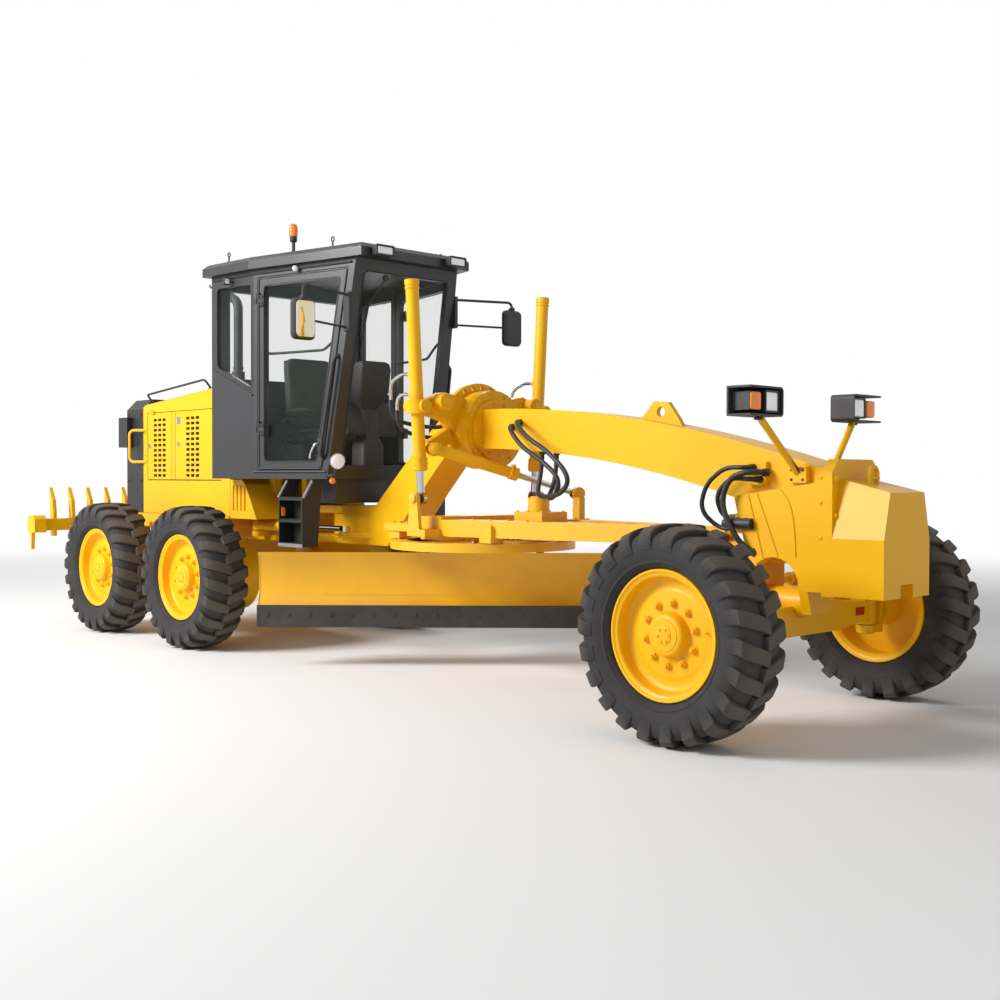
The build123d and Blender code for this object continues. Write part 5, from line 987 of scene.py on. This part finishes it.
for tag, side in flanks:
    caps = [heads((axle["x"], side * axle["kingpinY"], hubZ + way * axle["kingpinHalf"]), (0, 0, way), 0.046, 0.01,
        28) for way in (1, -1)]
    add("kingpinCaps_" + tag, joined(*caps), "knuckle_" + tag, machineYellow)
    out, middle = (0, side, 0), np.array([case["x"], side * case["y"], hubZ])
    ring = circleOf(middle + [0, side * 0.012, 0], "xz", case["ring"], aroundTurn(10))
    plugs = [(x, side * case["y"], z) for x, z in ((0.4, 0.82), (1.14, 0.82), (0.4, 0.38), (1.14, 0.38))]
    cover = joined(revolved(caseCover, 48, middle, "y", side), heads(ring, out, 0.014, 0.01),
        heads(plugs, out, 0.022, 0.01))
    add("tandemCover_" + tag, cover, "tandem_" + tag, machineYellow)
shankPins = [rodShape((-1.633, y - 0.03, 0.985), (-1.633, y + 0.03, 0.985), 0.01, 12)
    for y in np.arange(-0.9, 0.91, 0.2)]
add("shankPins", joined(*shankPins), "ripper", wornSteel)
print("axles, tandems and ripper done")


# Hoses between two fittings of one body
def hose(name, route, radius, body):
    # A NURBS line through a few route points, given as (station, y, z), with a round section.
    route = np.array(route) + toFrame
    data = bpy.data.curves.new(name, "CURVE")
    data.dimensions = "3D"
    line = data.splines.new("NURBS")
    line.points.add(len(route) - 1)
    for point, place in zip(line.points, route):
        point.co = (*place, 1)
    line.order_u = 3
    line.use_endpoint_u = True
    line.resolution_u = 12
    piece = bpy.data.objects.new(name, data)
    bpy.context.scene.collection.objects.link(piece)
    bare = bpy.data.meshes.new_from_object(piece)
    spots = np.empty(3 * len(bare.vertices))
    bare.vertices.foreach_get("co", spots)
    bpy.data.meshes.remove(bare)
    data.bevel_depth = radius
    data.bevel_resolution = 5
    data.use_fill_caps = True
    data.materials.append(hoseRubber)
    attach(piece, body)


thirdRoute = [(6.63, -0.178, 1.47), (6.622, -0.262, 1.474), (6.56, -0.3, 1.47), (6.47, -0.304, 1.44),
    (6.415, -0.304, 1.35), (6.41, -0.302, 1.25), (6.47, -0.296, 1.13), (6.53, -0.262, 1.03), (6.585, -0.233, 1.0)]
outerRoute = [(4.52, -0.149, 1.83), (4.56, -0.25, 1.85), (4.74, -0.315, 1.72), (5.0, -0.345, 1.61),
    (5.2, -0.345, 1.44), (5.1, -0.32, 1.325), (4.88, -0.27, 1.3), (4.7, -0.16, 1.32), (4.7, -0.11, 1.5),
    (4.7, -0.105, 1.64)]
innerRoute = [(4.44, -0.149, 1.8), (4.47, -0.23, 1.81), (4.64, -0.27, 1.66), (4.86, -0.285, 1.56),
    (5.05, -0.285, 1.43), (4.98, -0.265, 1.3), (4.84, -0.2, 1.29), (4.79, -0.09, 1.36), (4.78, -0.045, 1.5),
    (4.78, -0.04, 1.64)]
for name, radius, route in (("thirdHose", 0.0175, thirdRoute), ("beamHoseOuter", 0.0165, outerRoute),
        ("beamHoseInner", 0.0165, innerRoute)):
    hose(name, route, radius, "front")
portTable = [((4.52, -0.147, 1.83), (0, -1, 0), 0.027, 0.022), ((4.44, -0.147, 1.8), (0, -1, 0), 0.027, 0.022),
    ((4.7, -0.105, 1.64), (0, 0, -1), 0.026, 0.04), ((4.78, -0.04, 1.637), (0, 0, -1), 0.026, 0.04),
    ((6.63, -0.177, 1.47), (0, -1, 0), 0.027, 0.024), ((6.575, -0.232, 1.0), (0, -1, 0), 0.027, 0.016)]
add("beamPorts", joined(*[heads(*port) for port in portTable]), "front", wornSteel)

# Seat
cushionUnder = [(0.95, 0.0), (0.6, 0.0), (0.25, 0.0), (0.08, 0.002), (0.025, 0.008)]
cushionSide = [(0.004, 0.12), (0.01, 0.3), (0.011, 0.48), (0.004, 0.575), (0.0015, 0.6), (0.004, 0.625),
    (0.01, 0.72), (0.006, 0.86), (-0.004, 0.95)]


def cushion(length, width, height, crown, corner=0.05):
    # Loops round a crowned pad: a flat underside, bulged sides with a pinched seam, then shrinking loops whose
    # height is crown * (1 - (1 - s)^2) at share s of the way to the middle.
    loops = [(s, 0.0, z) for s, z in cushionUnder] + [(0.0, grow, share * height) for grow, share in cushionSide]
    loops += [(s, -0.006, height * 0.985 + crown * (1 - (1 - s) ** 2)) for s in np.linspace(0.03, 0.97, 12)]
    skins = []
    for s, grow, z in loops:
        a, b = length / 2 * (1 - s) + grow, width / 2 * (1 - s) + grow
        skins.append(level(z, roundBox(-b, b, -a, a, max(min(corner * (1 - s) + grow, a * 0.9, b * 0.9), 0.001),
            9)))
    return lofted(skins, flip=True)


def tilted(shape, degrees, place):
    # Turned about y by the given angle, from z towards x, then moved.
    c, s = math.cos(math.radians(degrees)), math.sin(math.radians(degrees))
    p = shape[0]
    return np.stack([c * p[:, 0] + s * p[:, 2], p[:, 1], -s * p[:, 0] + c * p[:, 2]],
        -1) + place, shape[1], shape[2]


def pad(name, shape):
    # A stuffed pad of the seat.
    add(name, shape, "rear", seatVinyl, smoothAngle=60, standsFor=["seat"])


seat = {"pad": (0.5, 0.5, 0.115, 0.025), "back": (0.6, 0.47, 0.085, 0.022, 0.07),
    "arm": (0.34, 0.066, 0.05, 0.012, 0.025), "armY": 0.295, "backTilt": 84}
pad("seatPad", tilted(cushion(*seat["pad"]), -3, (1.945, 0, 1.728)))
pad("seatBackPad", tilted(cushion(*seat["back"]), seat["backTilt"], (1.642, 0, 2.165)))
for tag, side in flanks:
    pad("armPad_" + tag, moved(cushion(*seat["arm"]), (1.945, side * seat["armY"], 1.965)))
folds = [(1.49 + 0.04 * k + rise, r) for k in range(5) for rise, r in ((0, 0.148), (0.02, 0.128))]
seatBase = lofted([level(z, roundBox(-r, r, -r, r, 0.03) + [0, 1.91]) for z,
    r in [(1.4665, 0.149)] + folds + [(1.7, 0.149), (1.72, 0.149)]], flip=True)
backShell = tilted(brick(-0.3, 0.3, -0.215, 0.215, -0.018, 0.0), seat["backTilt"], (1.64, 0, 2.165))
armBrackets = []
for side in (1, -1):
    y = side * seat["armY"]
    bracket = [(1.7, side * 0.235, 1.9), (1.7, y, 1.92), (1.8, y, 1.955), (2.06, y, 1.962)]
    armBrackets.append(swept(rounded(bracket, 0.03), 0.014, 10))
add("seatBase", joined(seatBase, backShell, *armBrackets), "rear", mouldedPlastic, standsFor=["seat"],
    bevel=0.004)


# Control console
def addConsole(name, shape, finish):
    # A piece that stands for the CAD console.
    add(name, shape, "rear", finish, standsFor=["control_console"])


def levelBody(stations, corner=0.03):
    # Level loops (z, rear x, front x, half width) from the floor to the top.
    return lofted([level(z, roundBox(-half, half, x0, x1, corner)) for z, x0, x1, half in stations], flip=True)


wheel = {"centre": np.array([2.33, 0, 2.15]), "tilt": math.radians(30), "radius": 0.18, "grip": 0.0155,
    "knurl": 0.0012}
middle, across = wheel["centre"], np.array([math.cos(wheel["tilt"]), 0, math.sin(wheel["tilt"])])
upward = np.array([-math.sin(wheel["tilt"]), 0, math.cos(wheel["tilt"])])
sideways = np.array([0, 1.0, 0])
turn = aroundTurn(64)[:, None]
wheelRing = middle + wheel["radius"] * (np.cos(turn) * across + np.sin(turn) * sideways)
spokes = []
for t in (0.5, 2.5944, 4.6888):
    way = math.cos(t) * across + math.sin(t) * sideways
    spokes.append(swept([middle + 0.03 * way - 0.012 * upward, middle + 0.1 * way - 0.006 * upward,
        middle + 0.176 * way], 0.012, 10, flat=0.5))
steering = joined(swept(wheelRing, wheel["grip"] + wheel["knurl"] * np.cos(24 * turn[:, 0]), 12, closed=True),
    *spokes, rodShape(middle - 0.03 * upward, middle + 0.012 * upward, 0.042, 32, 0.006),
    rodShape(middle - 0.2 * upward + [0.045, 0, 0], middle - 0.02 * upward, 0.026, 20))
addConsole("steeringWheel", steering, mouldedPlastic)
column = levelBody([(1.4665, 2.43, 2.62, 0.11), (1.7, 2.44, 2.62, 0.11), (1.76, 2.46, 2.61, 0.075),
    (2.0, 2.42, 2.56, 0.085), (2.08, 2.41, 2.6, 0.13), (2.16, 2.43, 2.64, 0.155), (2.34, 2.5, 2.66, 0.158),
    (2.385, 2.53, 2.655, 0.145), (2.4, 2.56, 2.64, 0.12)])
pod = levelBody([(1.785, 2.41, 2.59, 0.096), (1.82, 2.39, 2.6, 0.1), (2.03, 2.34, 2.515, 0.1),
    (2.065, 2.345, 2.49, 0.094)], 0.025)
dials = [rodShape((2.452, y, 2.25), (2.486, y, 2.257), 0.034, 24) for y in (-0.09, 0.0, 0.09)]
addConsole("consoleBody", joined(column, *[moved(pod, (0, side * 0.16, 0)) for side in (1, -1)], *dials),
    mouldedPlastic)
knobLine = [(0.0005, -0.022), (0.009, -0.022), (0.012, -0.01), (0.016, 0.004), (0.0155, 0.014), (0.01, 0.022),
    (0.0005, 0.024)]
leverRows = [side * (0.09 + 0.045 * k) for side in (1, -1) for k in range(4)]
pedalRows = (-0.2, 0.2)
levers = joined(*[rodShape((2.4, y, 2.04), (2.345, y, 2.19), 0.007, 12) for y in leverRows],
    *[brick(2.32, 2.4, y - 0.04, y + 0.04, 1.5, 1.512) for y in pedalRows],
    *[rodShape((2.36, y, 1.466), (2.36, y, 1.502), 0.012, 12) for y in pedalRows])
addConsole("consoleLevers", levers, wornSteel)
addConsole("leverKnobs", joined(*[revolved(knobLine, 20, (2.345, y, 2.19), "z") for y in leverRows]), hoseRubber)
print("hoses, seat and console done")

# Camera, floor and light
view = {"place": (8.0126, -6.3469, 1.4385), "yaw": 46.6804, "pitch": -1.0554, "roll": 0.1422, "lens": 44.63}
cameraData = bpy.data.cameras.new("camera")
cameraData.lens = view["lens"]
cameraData.sensor_width = 36
cameraData.clip_end = 400
camera = bpy.data.objects.new("camera", cameraData)
bpy.context.scene.collection.objects.link(camera)
yaw, pitch, roll = (math.radians(view[k]) for k in ("yaw", "pitch", "roll"))
ahead = np.array([-math.sin(yaw) * math.cos(pitch), math.cos(yaw) * math.cos(pitch), math.sin(pitch)])
right = np.array([math.cos(yaw), math.sin(yaw), 0.0])
above = np.cross(right, ahead)
rightRolled = math.cos(roll) * right + math.sin(roll) * above
upRolled = -math.sin(roll) * right + math.cos(roll) * above
turn = Matrix(np.column_stack([rightRolled, upRolled, -ahead]).tolist())
camera.matrix_world = Matrix.Translation(view["place"]) @ turn.to_4x4()
bpy.context.scene.camera = camera

span = 150.0
floorCorners = np.array([[-span, -span, 0], [span, -span, 0], [span, span, 0], [-span, span, 0]])
floorMesh = asMesh("floor", (floorCorners, [[0, 1, 2, 3]]), 0)
floor = bpy.data.objects.new("floor", floorMesh)
bpy.context.scene.collection.objects.link(floor)
paper = bpy.data.materials.new("paperFloor")
paper.use_nodes = True
tree = paper.node_tree
tree.nodes.clear()
matt = nodeOf(tree, "ShaderNodeBsdfDiffuse", Color=(0.86, 0.86, 0.86, 1))
white = nodeOf(tree, "ShaderNodeEmission", Color=(1, 1, 1, 1))
far = tree.nodes.new("ShaderNodeVectorMath")
far.operation = "LENGTH"
tree.links.new(tree.nodes.new("ShaderNodeTexCoord").outputs["Object"], far.inputs[0])
fade = nodeOf(tree, "ShaderNodeMapRange", Value=far.outputs["Value"], From_Min=6.0, From_Max=17.0)
fade.interpolation_type = "SMOOTHSTEP"
mixing = nodeOf(tree, "ShaderNodeMixShader", Fac=fade.outputs["Result"])
tree.links.new(matt.outputs[0], mixing.inputs[1])
tree.links.new(white.outputs[0], mixing.inputs[2])
nodeOf(tree, "ShaderNodeOutputMaterial", Surface=mixing.outputs[0])
floorMesh.materials.append(paper)

world = bpy.data.worlds.new("studio")
bpy.context.scene.world = world
world.use_nodes = True
tree = world.node_tree
sky = tree.nodes["Background"]
sky.inputs["Color"].default_value = (1, 1, 1, 1)
rays = tree.nodes.new("ShaderNodeLightPath").outputs
seen = maths(tree, "MAXIMUM", rays["Is Camera Ray"], rays["Is Transmission Ray"])
both = maths(tree, "MAXIMUM", seen, rays["Is Glossy Ray"])
brightness = nodeOf(tree, "ShaderNodeMapRange", Value=both, To_Min=0.33, To_Max=1.0)
tree.links.new(brightness.outputs["Result"], sky.inputs["Strength"])


def lamp(name, place, target, size, power):
    # A rectangular lamp at a place, turned towards a target.
    data = bpy.data.lights.new(name, "AREA")
    data.shape = "RECTANGLE"
    data.size, data.size_y = size
    data.energy = power
    light = bpy.data.objects.new(name, data)
    bpy.context.scene.collection.objects.link(light)
    turn = Matrix(np.column_stack(basis(np.subtract(place, target))).tolist())
    light.matrix_world = Matrix.Translation(place) @ turn.to_4x4()


lamp("keyLight", (-3.5, -11.0, 7.5), (0.5, 0, 1.2), (5, 5), 2150)
lamp("fillLight", (12.0, -2.0, 5.0), (1.0, 0, 1.0), (5, 5), 40)
lamp("backLight", (-9.0, 7.0, 7.0), (0, 0, 1.0), (6, 5), 400)
bpy.context.scene.view_settings.view_transform = "Standard"
print("camera and light done")
